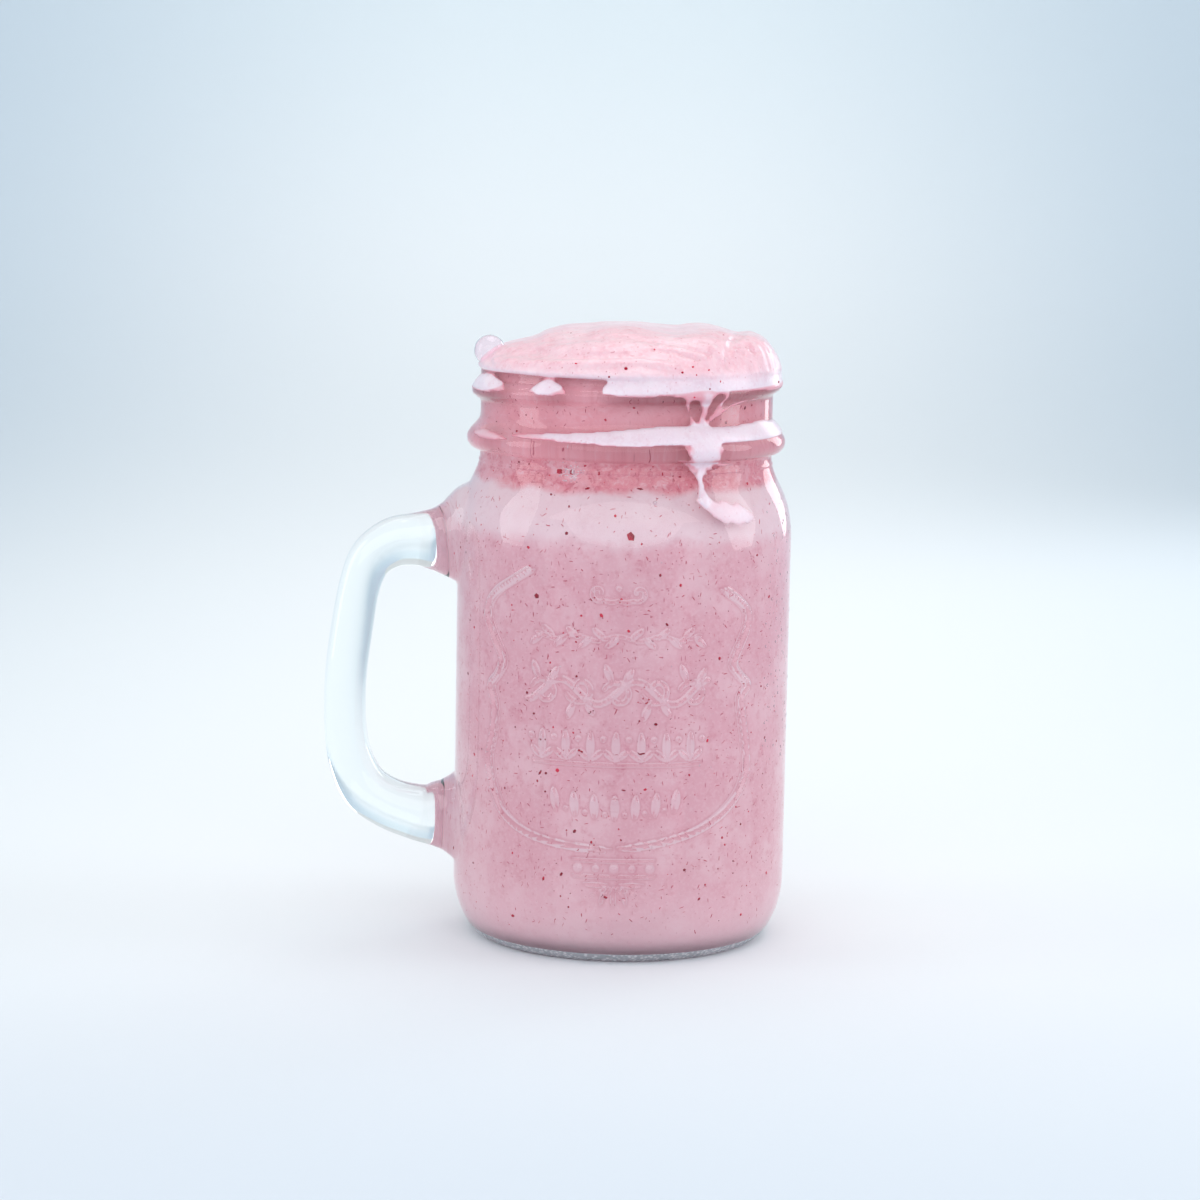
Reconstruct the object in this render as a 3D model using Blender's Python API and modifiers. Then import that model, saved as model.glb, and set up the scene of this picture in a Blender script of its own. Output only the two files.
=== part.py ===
"""A clear glass drinking jar with a screw neck and a D-shaped handle, brim-full of a pink fruit shake.

Two solids. The glass is one moulded piece: a turned body, a one-turn screw thread, a bead below it,
a handle and a raised frame on the front. The drink fills the jar, heaps up over the rim and runs
down outside on the right.
Units are metres, +Z is up, the jar stands on z = 0 and its handle points along -X.
"""

import math

import bmesh
import bpy
from mathutils import Vector

MM = 0.001

# The glass body, as radii and heights
BODY_RADIUS = 38.1 * MM
BODY_INSIDE_RADIUS = 34.9 * MM
NECK_RADIUS = 33.2 * MM
NECK_INSIDE_RADIUS = 30.0 * MM
RIM_TOP = 131.2 * MM
RIM_ROUNDING = 0.5 * (NECK_RADIUS - NECK_INSIDE_RADIUS)
SHOULDER_TOP = 111.0 * MM
SHOULDER_TOP_PULL = 105.0 * MM
SHOULDER_BOTTOM_PULL = 103.8 * MM
SHOULDER_BOTTOM = 92.0 * MM
HEEL_TOP = 14.0 * MM
HEEL_POWER = 1.8
HEEL_STEPS = 6
FOOT_RADIUS = 31.0 * MM
FOOT_WIDTH = 2.4 * MM
FOOT_RECESS = 1.2 * MM
RECESS_EDGE_SHARE = 0.8
FLOOR_TOP = 4.6 * MM
FLOOR_RADIUS = 25.0 * MM
INSIDE_CORNER_HEIGHT = 13.0 * MM
INSIDE_CORNER_PULL = 2.5 * MM
INSIDE_SHOULDER_BOTTOM = 89.5 * MM
INSIDE_SHOULDER_BOTTOM_PULL = 101.0 * MM
INSIDE_SHOULDER_TOP_PULL = 102.5 * MM
INSIDE_SHOULDER_TOP = 109.5 * MM
TURN_STEPS = 48
MERGE_DISTANCE = 0.00001

# The screw thread and the bead under it
THREAD_PITCH = 5.08 * MM
THREAD_MIDDLE = 126.2 * MM
THREAD_CREST_RADIUS = 35.2 * MM
THREAD_ROUNDING = 2.2 * MM
THREAD_TURNS = 1.0
THREAD_FADE_DEG = 24.0
THREAD_END_SHARE = 0.25
THREAD_END_SINK = 1.0 * MM
THREAD_STEPS = 44
BEAD_RADIUS = 36.2 * MM
BEAD_ROUNDING = 2.6 * MM
BEAD_MIDDLE = 114.3 * MM
BEAD_ROOT = 119.8 * MM
BEAD_START_DEG = 40.0
BEAD_END_DEG = -98.0

# The handle, from its upper root to its lower one: x from the jar's axis, z, half thickness and
# half depth, all in millimetres
HANDLE_STATIONS = (
    (-35.6, 90.7, 11.0, 8.6),
    (-38.0, 90.7, 10.8, 8.4),
    (-40.2, 90.4, 8.9, 7.5),
    (-43.2, 90.4, 7.1, 6.7),
    (-47.5, 90.3, 6.0, 6.3),
    (-52.7, 89.5, 5.6, 6.2),
    (-57.6, 86.0, 5.1, 6.2),
    (-60.3, 79.6, 4.7, 6.2),
    (-62.2, 68.5, 4.8, 6.2),
    (-63.4, 58.0, 4.75, 6.2),
    (-63.4, 47.5, 4.75, 6.2),
    (-62.3, 39.8, 5.0, 6.2),
    (-59.0, 32.8, 5.5, 6.2),
    (-53.2, 28.8, 5.7, 6.2),
    (-46.2, 26.7, 6.4, 6.3),
    (-41.5, 26.5, 7.7, 6.9),
    (-38.4, 26.5, 9.4, 7.6),
    (-35.6, 26.5, 9.6, 7.8),
)
HANDLE_STEPS_BETWEEN = 2
HANDLE_SIDES = 14
HANDLE_SQUARENESS = 2.7

# The raised frame moulded on the front: the right half's outline as degrees of azimuth from its
# middle and heights in millimetres, mirrored for the left half
FRAME_MIDDLE_DEG = -3.0
FRAME_OUTLINE = (
    (33.0, 86.8), (40.0, 84.3), (47.0, 81.6), (50.5, 77.6), (48.0, 72.6), (43.8, 68.4),
    (43.6, 64.6), (47.0, 61.2), (46.6, 57.0), (47.4, 51.5), (50.0, 44.6), (49.4, 40.0),
    (45.6, 35.6), (38.0, 31.6), (27.0, 29.2), (14.0, 27.5), (3.0, 26.6),
)
FRAME_HALF_WIDTH = 0.9 * MM
FRAME_SINK = 0.25 * MM
FRAME_TOP_END_SHARE = 0.6
FRAME_BOTTOM_END_SHARE = 0.85
FRAME_SMOOTHNESS = 2

# The drink
GAP = 0.3 * MM
FILL_TOP = RIM_TOP + 1.2 * MM
DOME_EDGE = 130.9 * MM
DOME_LIFT = 9.9 * MM
DOME_LEFT_RADIUS = 33.9 * MM
DOME_RIGHT_RADIUS = 35.0 * MM
DOME_LEFT_POWER = 2.6
DOME_RIGHT_POWER = 9.0
DOME_RIGHT_DROP = 0.6 * MM
DOME_TUCK = 2.2 * MM
DOME_TUCK_POWER = 0.6
DOME_UNDERSIDE_POWER = 0.5
# Lumps on the heap: height, how many go round, turn in radians and how fast they fade to the middle
DOME_LUMPS = ((0.45 * MM, 3, 0.8, 2), (0.3 * MM, 5, -0.6, 3))
BULGE_MIDDLE_DEG = 78.0
BULGE_SHARPNESS = 0.75
DOME_SIDES = 48
DOME_RINGS = 18
BUBBLE_RADIUS = 3.5 * MM
BUBBLE_PLACE = (-31.1 * MM, -5.0 * MM, 134.0 * MM)

# Runs of drink outside the glass: azimuth in degrees from the front towards the right, then radius
# from the axis, height and half thickness in millimetres
RUNS = {
    "roll_over_rim": (
        (16, 32.4, 129.4, 1.2), (34, 32.8, 128.9, 2.7), (60, 32.9, 128.5, 2.8),
        (90, 32.9, 128.5, 2.8), (112, 32.8, 128.8, 2.5), (134, 32.4, 129.4, 1.2),
    ),
    "pool_on_thread": (
        (-9, 33.8, 127.6, 0.8), (0, 33.9, 127.9, 1.6), (20, 33.9, 128.0, 1.8),
        (44, 34.0, 127.9, 1.8), (68, 34.0, 127.5, 1.5),
    ),
    "pool_on_bead": (
        (-47, 34.7, 117.0, 0.8), (-25, 34.8, 117.3, 1.2), (5, 34.9, 117.6, 1.7),
        (35, 35.0, 117.8, 1.9), (70, 34.9, 117.8, 1.7), (98, 34.7, 117.4, 0.9),
    ),
    "drip": (
        (33, 33.4, 129.8, 2.0), (33, 33.9, 127.0, 2.0), (32, 33.4, 122.6, 1.6), (30, 34.6, 117.6, 2.2),
        (29, 35.1, 114.0, 2.3), (29, 33.4, 110.6, 1.6), (29, 33.2, 107.4, 1.4),
        (29, 34.3, 104.0, 1.6), (30, 35.4, 102.2, 1.8),
    ),
    "leaf_on_shoulder": (
        (29, 35.4, 102.2, 1.5), (35, 35.9, 100.9, 2.2), (42, 36.3, 99.9, 2.3), (48, 36.9, 99.1, 1.4),
    ),
    "left_blob": ((-39, 33.4, 127.2, 0.7), (-31, 33.5, 127.5, 1.7), (-22, 33.4, 127.2, 0.7)),
    "left_blob_neck": ((-31, 33.0, 130.0, 1.0), (-31, 33.4, 127.6, 1.6)),
    "left_edge_pool": ((-82, 33.4, 127.0, 0.7), (-66, 33.5, 127.3, 1.8), (-53, 33.4, 127.0, 0.7)),
    "left_edge_neck": ((-68, 33.0, 130.0, 1.0), (-68, 33.4, 127.4, 1.7)),
}
RUN_SMOOTHNESS = 4
KEEP_OUT_BOTTOM = 80.0 * MM


def clear_scene():
    for thing in list(bpy.data.objects):
        bpy.data.objects.remove(thing, do_unlink=True)


def collection(name):
    made = bpy.data.collections.new(name)
    bpy.context.scene.collection.children.link(made)
    return made


def material(name, colour, roughness, transmission=0.0):
    made = bpy.data.materials.new(name)
    made.use_nodes = True
    shader = made.node_tree.nodes["Principled BSDF"]
    shader.inputs["Base Color"].default_value = (*colour, 1.0)
    shader.inputs["Roughness"].default_value = roughness
    shader.inputs["Transmission Weight"].default_value = transmission
    made.diffuse_color = (*colour, 1.0)
    return made


def as_object(name, mesh, parts):
    """An object around the jar's axis. The origin is under the middle of the whole object."""
    made = bpy.data.objects.new(name, mesh)
    parts.objects.link(made)
    made.location.x = 0.5 * (handle_reach() - BODY_RADIUS)
    return made


def as_cutter(made):
    made.hide_render = True
    made.display_type = "WIRE"
    return made


def arc(centre, radius, start_deg, end_deg, steps):
    """Points of a circle in the (radius, height) plane, with 0 degrees pointing outwards."""
    angles = [start_deg + (end_deg - start_deg) * i / steps for i in range(steps + 1)]
    return [
        (centre[0] + radius * math.cos(math.radians(a)), centre[1] + radius * math.sin(math.radians(a)))
        for a in angles
    ]


def bezier(start, pull_start, pull_end, end, steps):
    points = []
    for i in range(steps + 1):
        t = i / steps
        s = 1 - t
        weights = (s**3, 3 * s * s * t, 3 * s * t * t, t**3)
        corners = (start, pull_start, pull_end, end)
        points.append(tuple(sum(w * c[k] for w, c in zip(weights, corners)) for k in (0, 1)))
    return points


def outside_profile(grow):
    """The glass's outer side from the top of the rim down to the shoulder's foot."""
    rounding = RIM_ROUNDING + grow
    rim = arc((NECK_INSIDE_RADIUS + RIM_ROUNDING, RIM_TOP - RIM_ROUNDING), rounding, 90, 0, 3)
    bead_centre = (BEAD_RADIUS - BEAD_ROUNDING, BEAD_MIDDLE)
    bead = arc(bead_centre, BEAD_ROUNDING + grow, BEAD_START_DEG, BEAD_END_DEG, 7)
    neck = bezier(
        (NECK_RADIUS + grow, SHOULDER_TOP),
        (NECK_RADIUS + grow, SHOULDER_TOP_PULL),
        (BODY_RADIUS + grow, SHOULDER_BOTTOM_PULL),
        (BODY_RADIUS + grow, SHOULDER_BOTTOM),
        8,
    )
    return rim + [(NECK_RADIUS + grow, BEAD_ROOT)] + bead + neck


def foot_profile():
    """The heel, the flat ring that the jar stands on and the shallow recess inside it."""
    heel_width = BODY_RADIUS - FOOT_RADIUS
    heel = []
    for i in range(1, HEEL_STEPS + 1):
        turn = math.radians(90.0 * i / HEEL_STEPS)
        out = max(math.cos(turn), 0.0) ** (2 / HEEL_POWER)
        down = math.sin(turn) ** (2 / HEEL_POWER)
        heel.append((FOOT_RADIUS + heel_width * out, HEEL_TOP * (1 - down)))
    inner_edge = FOOT_RADIUS - FOOT_WIDTH
    recess_edge = (inner_edge - FOOT_RECESS, FOOT_RECESS * RECESS_EDGE_SHARE)
    recess = [(inner_edge, 0.0), recess_edge, (0.0, FOOT_RECESS)]
    return [(BODY_RADIUS, HEEL_TOP)] + heel + recess


def inside_profile(shrink):
    """The jar's inner side from the middle of its floor up to the foot of the rim's rounding."""
    body = BODY_INSIDE_RADIUS - shrink
    neck = NECK_INSIDE_RADIUS - shrink
    floor = FLOOR_TOP + shrink
    corner = bezier(
        (FLOOR_RADIUS, floor),
        (body - INSIDE_CORNER_PULL, floor),
        (body, floor + INSIDE_CORNER_PULL),
        (body, floor + INSIDE_CORNER_HEIGHT),
        5,
    )
    shoulder = bezier(
        (body, INSIDE_SHOULDER_BOTTOM),
        (body, INSIDE_SHOULDER_BOTTOM_PULL),
        (neck, INSIDE_SHOULDER_TOP_PULL),
        (neck, INSIDE_SHOULDER_TOP),
        6,
    )
    return [(0.0, floor)] + corner + shoulder


def turned(name, profile, parts):
    """A profile in the (radius, height) plane, spun about the jar's axis."""
    mesh = bpy.data.meshes.new(name)
    edges = [(i, i + 1) for i in range(len(profile) - 1)]
    mesh.from_pydata([(r, 0.0, z) for r, z in profile], edges, [])
    made = as_object(name, mesh, parts)
    spin = made.modifiers.new("spin", "SCREW")
    spin.steps = TURN_STEPS
    spin.render_steps = TURN_STEPS
    spin.use_merge_vertices = True
    spin.merge_threshold = MERGE_DISTANCE
    return made


def join(target, other, operation="UNION"):
    step = target.modifiers.new(operation.lower() + "_" + other.name, "BOOLEAN")
    step.operation = operation
    step.solver = "EXACT"
    step.object = other


def join_all(target, group):
    step = target.modifiers.new("union_" + group.name, "BOOLEAN")
    step.operation = "UNION"
    step.solver = "EXACT"
    step.operand_type = "COLLECTION"
    step.collection = group


def round_the_jar(azimuth_deg, radius, height):
    """A point at this azimuth, counted from the front (-Y) towards the right (+X)."""
    turn = math.radians(azimuth_deg)
    return Vector((radius * math.sin(turn), -radius * math.cos(turn), height))


def round_bar(name, points, radii, thickness, group, smooth_steps, roundness):
    """A round bar through the points, as a mesh with welded ends and 2 * roundness + 4 sides."""
    curve = bpy.data.curves.new(name, "CURVE")
    curve.dimensions = "3D"
    curve.bevel_depth = thickness
    curve.bevel_resolution = roundness
    curve.use_fill_caps = True
    if smooth_steps:
        spline = curve.splines.new("BEZIER")
        spline.bezier_points.add(len(points) - 1)
        spline.resolution_u = smooth_steps
        curve.resolution_u = smooth_steps
        for knot, point, radius in zip(spline.bezier_points, points, radii):
            knot.co = point
            knot.radius = radius
            knot.handle_left_type = "AUTO"
            knot.handle_right_type = "AUTO"
    else:
        spline = curve.splines.new("POLY")
        spline.points.add(len(points) - 1)
        for knot, point, radius in zip(spline.points, points, radii):
            knot.co = (*point, 1.0)
            knot.radius = radius
    guide = bpy.data.objects.new(name + "_guide", curve)
    group.objects.link(guide)
    bpy.context.view_layer.update()
    evaluated = guide.evaluated_get(bpy.context.evaluated_depsgraph_get())
    mesh = bpy.data.meshes.new_from_object(evaluated)
    bpy.data.objects.remove(guide, do_unlink=True)
    weld_and_face_out(mesh)
    return as_object(name, mesh, group)


def weld_and_face_out(mesh):
    shape = bmesh.new()
    shape.from_mesh(mesh)
    bmesh.ops.remove_doubles(shape, verts=shape.verts, dist=0.1 * MERGE_DISTANCE)
    bmesh.ops.recalc_face_normals(shape, faces=shape.faces)
    shape.to_mesh(mesh)
    shape.free()


def thread_bar(name, grow, cutters):
    """One turn of rounded thread, rising to the right across the front, its ends sunk in the wall."""
    half_turn = 180.0 * THREAD_TURNS
    sink = THREAD_CREST_RADIUS - THREAD_ROUNDING
    points, radii = [], []
    for i in range(THREAD_STEPS + 1):
        azimuth = -half_turn + 2 * half_turn * i / THREAD_STEPS
        to_end = half_turn - abs(azimuth)
        fade = min(1.0, THREAD_END_SHARE + (1 - THREAD_END_SHARE) * to_end / THREAD_FADE_DEG)
        height = THREAD_MIDDLE + THREAD_PITCH * azimuth / 360
        points.append(round_the_jar(azimuth, sink - (1 - fade) * THREAD_END_SINK, height))
        radii.append((THREAD_ROUNDING * fade + grow) / THREAD_ROUNDING)
    return as_cutter(round_bar(name, points, radii, THREAD_ROUNDING, cutters, 0, 1))


def smooth_stations(stations, between):
    """Extra stations on a Catmull-Rom curve through the given ones."""
    ends = [stations[0]] + list(stations) + [stations[-1]]
    made = []
    for i in range(len(stations) - 1):
        a, b, c, d = ends[i : i + 4]
        for k in range(between):
            t = k / between
            made.append(
                tuple(
                    0.5 * (2 * q + (r - p) * t + (2 * p - 5 * q + 4 * r - s) * t * t
                           + (3 * q - p - 3 * r + s) * t**3)
                    for p, q, r, s in zip(a, b, c, d)
                )
            )
    made.append(stations[-1])
    return made


def handle_rings():
    """The handle's sections from root to root, each a rounded rectangle of points."""
    stations = smooth_stations(HANDLE_STATIONS, HANDLE_STEPS_BETWEEN)
    last = len(stations) - 1
    rings = []
    for i, (x, z, thick, deep) in enumerate(stations):
        before = stations[max(i - 1, 0)]
        after = stations[min(i + 1, last)]
        along = Vector((after[0] - before[0], 0.0, after[1] - before[1]))
        if i in (0, last):
            along.z = 0.0
        along.normalize()
        across = Vector((-along.z, 0.0, along.x))
        ring = []
        for k in range(HANDLE_SIDES):
            turn = 2 * math.pi * k / HANDLE_SIDES
            c, s = math.cos(turn), math.sin(turn)
            out = math.copysign(abs(c) ** (2 / HANDLE_SQUARENESS), c) * thick
            side = math.copysign(abs(s) ** (2 / HANDLE_SQUARENESS), s) * deep
            ring.append((Vector((x, side, z)) + across * out) * MM)
        rings.append(ring)
    return rings


def handle_reach():
    """How far the handle stands out from the jar's axis."""
    return max(-point.x for ring in handle_rings() for point in ring)


def handle_bar(cutters):
    shape = bmesh.new()
    rings = [[shape.verts.new(point) for point in ring] for ring in handle_rings()]
    for lower, upper in zip(rings, rings[1:]):
        for k in range(HANDLE_SIDES):
            n = (k + 1) % HANDLE_SIDES
            shape.faces.new((lower[k], lower[n], upper[n], upper[k]))
    shape.faces.new(rings[0])
    shape.faces.new(rings[-1])
    bmesh.ops.recalc_face_normals(shape, faces=shape.faces)
    mesh = bpy.data.meshes.new("handle_bar")
    shape.to_mesh(mesh)
    shape.free()
    return as_cutter(as_object("handle_bar", mesh, cutters))


def frame_half(name, side, cutters):
    """One half of the raised frame: a slim bar that lies mostly inside the wall."""
    radius = BODY_RADIUS - FRAME_SINK
    points = [
        round_the_jar(FRAME_MIDDLE_DEG + side * azimuth, radius, height * MM)
        for azimuth, height in FRAME_OUTLINE
    ]
    radii = [1.0] * len(points)
    radii[0] = FRAME_TOP_END_SHARE
    radii[-1] = FRAME_BOTTOM_END_SHARE
    return as_cutter(round_bar(name, points, radii, FRAME_HALF_WIDTH, cutters, FRAME_SMOOTHNESS, 0))


def make_jar(parts, cutters):
    outer = outside_profile(0.0)
    inner_rim = arc(
        (NECK_INSIDE_RADIUS + RIM_ROUNDING, RIM_TOP - RIM_ROUNDING), RIM_ROUNDING, 180, 120, 2
    )
    profile = inside_profile(0.0) + inner_rim + outer + foot_profile()
    jar = turned("jar", profile, parts)
    join(jar, thread_bar("thread", 0.0, cutters))
    join(jar, handle_bar(cutters))
    for name, side in (("frame_left", -1), ("frame_right", 1)):
        join(jar, frame_half(name, side, cutters))
    jar.data.materials.append(material("clear_glass", (0.86, 0.93, 0.95), 0.03, 1.0))
    return jar


def right_side(azimuth_deg):
    """1 where the drink bulges over the right of the rim, 0 on the left, smooth between."""
    t = 0.5 + BULGE_SHARPNESS * math.cos(math.radians(azimuth_deg - BULGE_MIDDLE_DEG))
    t = min(max(t, 0.0), 1.0)
    return t * t * (3 - 2 * t)


def dome_height(azimuth_deg, share):
    """Height of the heaped drink at this share of the way from the axis to its edge."""
    bulge = right_side(azimuth_deg)
    power = DOME_LEFT_POWER + (DOME_RIGHT_POWER - DOME_LEFT_POWER) * bulge
    fall = 1 - share**power
    turn = math.radians(azimuth_deg)
    lift = DOME_LIFT - DOME_RIGHT_DROP * bulge * share
    for lump_height, count, phase, fade in DOME_LUMPS:
        lift += lump_height * math.sin(count * turn + phase) * share**fade
    return DOME_EDGE + lift * fall


def make_dome(cutters):
    """The heap over the rim: a ball whose points are moved to the heap's height and edge."""
    shape = bmesh.new()
    bmesh.ops.create_uvsphere(shape, u_segments=DOME_SIDES, v_segments=DOME_RINGS, radius=1.0)
    for point in shape.verts:
        azimuth = math.degrees(math.atan2(point.co.x, -point.co.y))
        flat = min(math.hypot(point.co.x, point.co.y), 1.0)
        edge = DOME_LEFT_RADIUS + (DOME_RIGHT_RADIUS - DOME_LEFT_RADIUS) * right_side(azimuth)
        if point.co.z >= -0.001:
            height = dome_height(azimuth, flat)
            radius = edge * flat
        else:
            height = DOME_EDGE - DOME_TUCK * (-point.co.z) ** DOME_TUCK_POWER
            radius = edge * flat**DOME_UNDERSIDE_POWER
        point.co = round_the_jar(azimuth, radius, height)
    mesh = bpy.data.meshes.new("heap")
    shape.to_mesh(mesh)
    shape.free()
    return as_cutter(as_object("heap", mesh, cutters))


def make_bubble(group):
    shape = bmesh.new()
    bmesh.ops.create_uvsphere(shape, u_segments=12, v_segments=8, radius=BUBBLE_RADIUS)
    bmesh.ops.translate(shape, verts=shape.verts, vec=BUBBLE_PLACE)
    mesh = bpy.data.meshes.new("bubble")
    shape.to_mesh(mesh)
    shape.free()
    return as_cutter(as_object("bubble", mesh, group))


def make_drink(parts, cutters):
    """The filling, with the heap on it, less everything that the glass takes up."""
    runs = collection("runs_of_drink")
    for name, steps in RUNS.items():
        points = [round_the_jar(a, r * MM, z * MM) for a, r, z, _ in steps]
        radii = [half for _, _, _, half in steps]
        as_cutter(round_bar(name, points, radii, MM, runs, RUN_SMOOTHNESS, 1))
    make_bubble(runs)

    keep_out_profile = [(0.0, RIM_TOP + GAP)] + outside_profile(GAP) + [
        (BODY_RADIUS + GAP, KEEP_OUT_BOTTOM), (0.0, KEEP_OUT_BOTTOM)
    ]
    keep_out = as_cutter(turned("glass_keep_out", keep_out_profile, cutters))
    join(keep_out, thread_bar("thread_keep_out", GAP, cutters))

    heap = make_dome(cutters)
    join_all(heap, runs)
    join(heap, keep_out, "DIFFERENCE")

    inside = inside_profile(GAP)
    neck = inside[-1][0]
    profile = [(0.0, FILL_TOP), (neck, FILL_TOP)] + inside[::-1]
    drink = turned("drink", profile, parts)
    join(drink, heap)
    drink.data.materials.append(material("fruit_shake", (0.80, 0.50, 0.58), 0.35))
    return drink


def main():
    clear_scene()
    parts = collection("jar_of_milk_drink")
    cutters = collection("cutters")
    make_jar(parts, cutters)
    make_drink(parts, cutters)
    for made in parts.objects:
        made.data.shade_smooth()


main()
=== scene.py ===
# %% [markdown]
# # A drinking jar, brim-full of pink fruit shake
#
# The real thing is pressed glass: one moulded piece with a screw neck, a bead under the thread,
# a D-shaped handle and a raised ornament on its front. A thick berry shake fills it, heaps up over
# the rim, sits in the groove over the thread and on the bead, and runs down on the right.
#
# The solids that carry the part come ready made as a frame. This lesson dresses them: it builds the
# glass and the drink again with fine surfaces, adds what is too small for the solids, and gives
# each piece a material made of nodes. Everything is in metres, at its real size.

# %% Load the frame
import math
import random

import bmesh
import bpy
import numpy as np
from mathutils import Matrix, Vector


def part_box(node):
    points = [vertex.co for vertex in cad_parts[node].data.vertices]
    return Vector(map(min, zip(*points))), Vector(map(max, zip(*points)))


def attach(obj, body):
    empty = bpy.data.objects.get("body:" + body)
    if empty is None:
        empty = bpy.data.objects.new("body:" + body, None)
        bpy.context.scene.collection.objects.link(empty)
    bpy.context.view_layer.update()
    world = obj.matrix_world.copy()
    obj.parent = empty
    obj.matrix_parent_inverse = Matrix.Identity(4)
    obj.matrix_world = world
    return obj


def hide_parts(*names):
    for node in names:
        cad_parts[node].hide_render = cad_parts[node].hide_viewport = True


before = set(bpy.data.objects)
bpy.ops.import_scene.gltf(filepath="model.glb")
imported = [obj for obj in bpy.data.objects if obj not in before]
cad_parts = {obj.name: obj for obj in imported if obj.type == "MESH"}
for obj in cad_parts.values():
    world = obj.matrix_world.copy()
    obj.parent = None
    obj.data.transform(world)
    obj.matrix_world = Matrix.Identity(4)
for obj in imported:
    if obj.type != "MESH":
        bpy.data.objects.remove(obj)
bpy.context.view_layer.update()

MM = 0.001
_, jar_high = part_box("jar")
print("solids:", sorted(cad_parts))

# %% [markdown]
# ## The jar's main sizes
#
# The jar isn't in the middle of the frame, because the handle counts in the box. Its axis lies one
# body radius in from the right side of the glass. Places on a round thing are easiest to give as
# an azimuth, counted here from the front towards the right, a radius and a height.

# %% Sizes and places round the axis
BODY_RADIUS = 38.1 * MM
BODY_INSIDE_RADIUS = 34.9 * MM
NECK_RADIUS = 33.2 * MM
NECK_INSIDE_RADIUS = 30.0 * MM
RIM_TOP = 131.2 * MM
RIM_ROUNDING = 0.5 * (NECK_RADIUS - NECK_INSIDE_RADIUS)
SHOULDER_BOTTOM = 92.0 * MM
FLOOR_TOP = 4.6 * MM
AXIS_X = jar_high[0] - BODY_RADIUS


def round_the_jar(azimuth_deg, radius, height):
    """A point at this azimuth, counted from the front (-Y) towards the right (+X)."""
    turn = math.radians(azimuth_deg)
    return Vector((AXIS_X + radius * math.sin(turn), -radius * math.cos(turn), height))


print("the jar's axis stands at x =", round(AXIS_X / MM, 2), "mm")

# %% [markdown]
# ## The camera
#
# The photograph was taken with a long lens from just above the rim, about three quarters of a
# metre away, and it leans a little. The lens is worked out from how large the jar is in the frame.

# %% Camera
PHOTO_SIZE = 1200
FOCAL_PIXELS = 3304.0
SENSOR = 36.0
CAMERA_PLACE = (AXIS_X - 5.26 * MM, -0.750, 0.180)
LOOKING_DOWN = 0.1365
LEANING = 0.0183

camera = bpy.data.objects.new("camera", bpy.data.cameras.new("camera"))
bpy.context.scene.collection.objects.link(camera)
camera.data.sensor_width = SENSOR
camera.data.lens = SENSOR * FOCAL_PIXELS / PHOTO_SIZE
camera.data.clip_start = 0.05
camera.data.clip_end = 20.0
turned_down = Matrix.Rotation(math.pi / 2 - LOOKING_DOWN, 4, "X")
camera.matrix_world = Matrix.Translation(CAMERA_PLACE) @ turned_down @ Matrix.Rotation(LEANING, 4, "Z")
bpy.context.scene.camera = camera
print("lens:", round(camera.data.lens, 1), "mm")

# %% [markdown]
# ## Helpers for modelling
#
# An operator works on all that is selected, so each step starts with nothing selected. A finished
# piece keeps its place in its mesh, with its object at the origin, so that a pattern on Object
# coordinates stays where it is.


# %% Selecting, applying and shading
def only(piece):
    """Leaves this object as the only one selected, and the active one."""
    bpy.ops.object.select_all(action="DESELECT")
    piece.select_set(True)
    bpy.context.view_layer.objects.active = piece


def edit(piece):
    only(piece)
    bpy.ops.object.mode_set(mode="EDIT")
    bpy.ops.mesh.select_mode(type="VERT")
    bpy.ops.mesh.select_all(action="SELECT")


def leave_edit():
    bpy.ops.object.mode_set(mode="OBJECT")


def bake_place(piece):
    only(piece)
    bpy.ops.object.transform_apply(location=True, rotation=True, scale=True)


def apply_modifier(piece, kind, **settings):
    only(piece)
    made = piece.modifiers.new(kind.lower(), kind)
    for name, value in settings.items():
        setattr(made, name, value)
    bpy.ops.object.modifier_apply(modifier=made.name)


def corners(piece):
    """All the vertices of a piece as an array of places."""
    places = np.empty(len(piece.data.vertices) * 3)
    piece.data.vertices.foreach_get("co", places)
    return places.reshape(-1, 3)


def move_corners(piece, places):
    piece.data.vertices.foreach_set("co", places.ravel())
    piece.data.update()


def cylinder_places(places):
    """Azimuth in degrees, radius and height of each place, round the jar's axis."""
    x, y, z = places[:, 0] - AXIS_X, places[:, 1], places[:, 2]
    return np.degrees(np.arctan2(x, -y)), np.hypot(x, y), z


def from_cylinder(azimuth, radius, height):
    turn = np.radians(azimuth)
    return np.column_stack((AXIS_X + radius * np.sin(turn), -radius * np.cos(turn), height))


def triangles(piece):
    piece.data.calc_loop_triangles()
    return len(piece.data.loop_triangles)


# %% [markdown]
# ## Turning on the wheel
#
# A jar is round, so its wall is drawn once as a line of edges, one extruded from the other, and
# spun about the axis. The front gets columns half a degree apart, because the raised ornament is
# pressed there and needs a fine mesh, and the back far fewer.

# %% Profiles and spinning
FRONT_EDGE_DEG = 58.0
FRONT_COLUMNS = 216
BACK_COLUMNS = 80


def arc(centre, radius, start_deg, end_deg, steps):
    """Points of a circle in the (radius, height) plane, with 0 degrees pointing outwards."""
    angles = np.radians(np.linspace(start_deg, end_deg, steps + 1))
    return [(centre[0] + radius * math.cos(a), centre[1] + radius * math.sin(a)) for a in angles]


def bezier(start, pull_start, pull_end, end, steps):
    points = []
    for t in np.linspace(0.0, 1.0, steps + 1):
        s = 1.0 - t
        weights = (s**3, 3 * s * s * t, 3 * s * t * t, t**3)
        ends = (start, pull_start, pull_end, end)
        points.append(tuple(sum(w * c[k] for w, c in zip(weights, ends)) for k in (0, 1)))
    return points


def straight(start, end, steps):
    return [tuple(np.array(start) + (np.array(end) - start) * t) for t in np.linspace(0, 1, steps + 1)]


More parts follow.
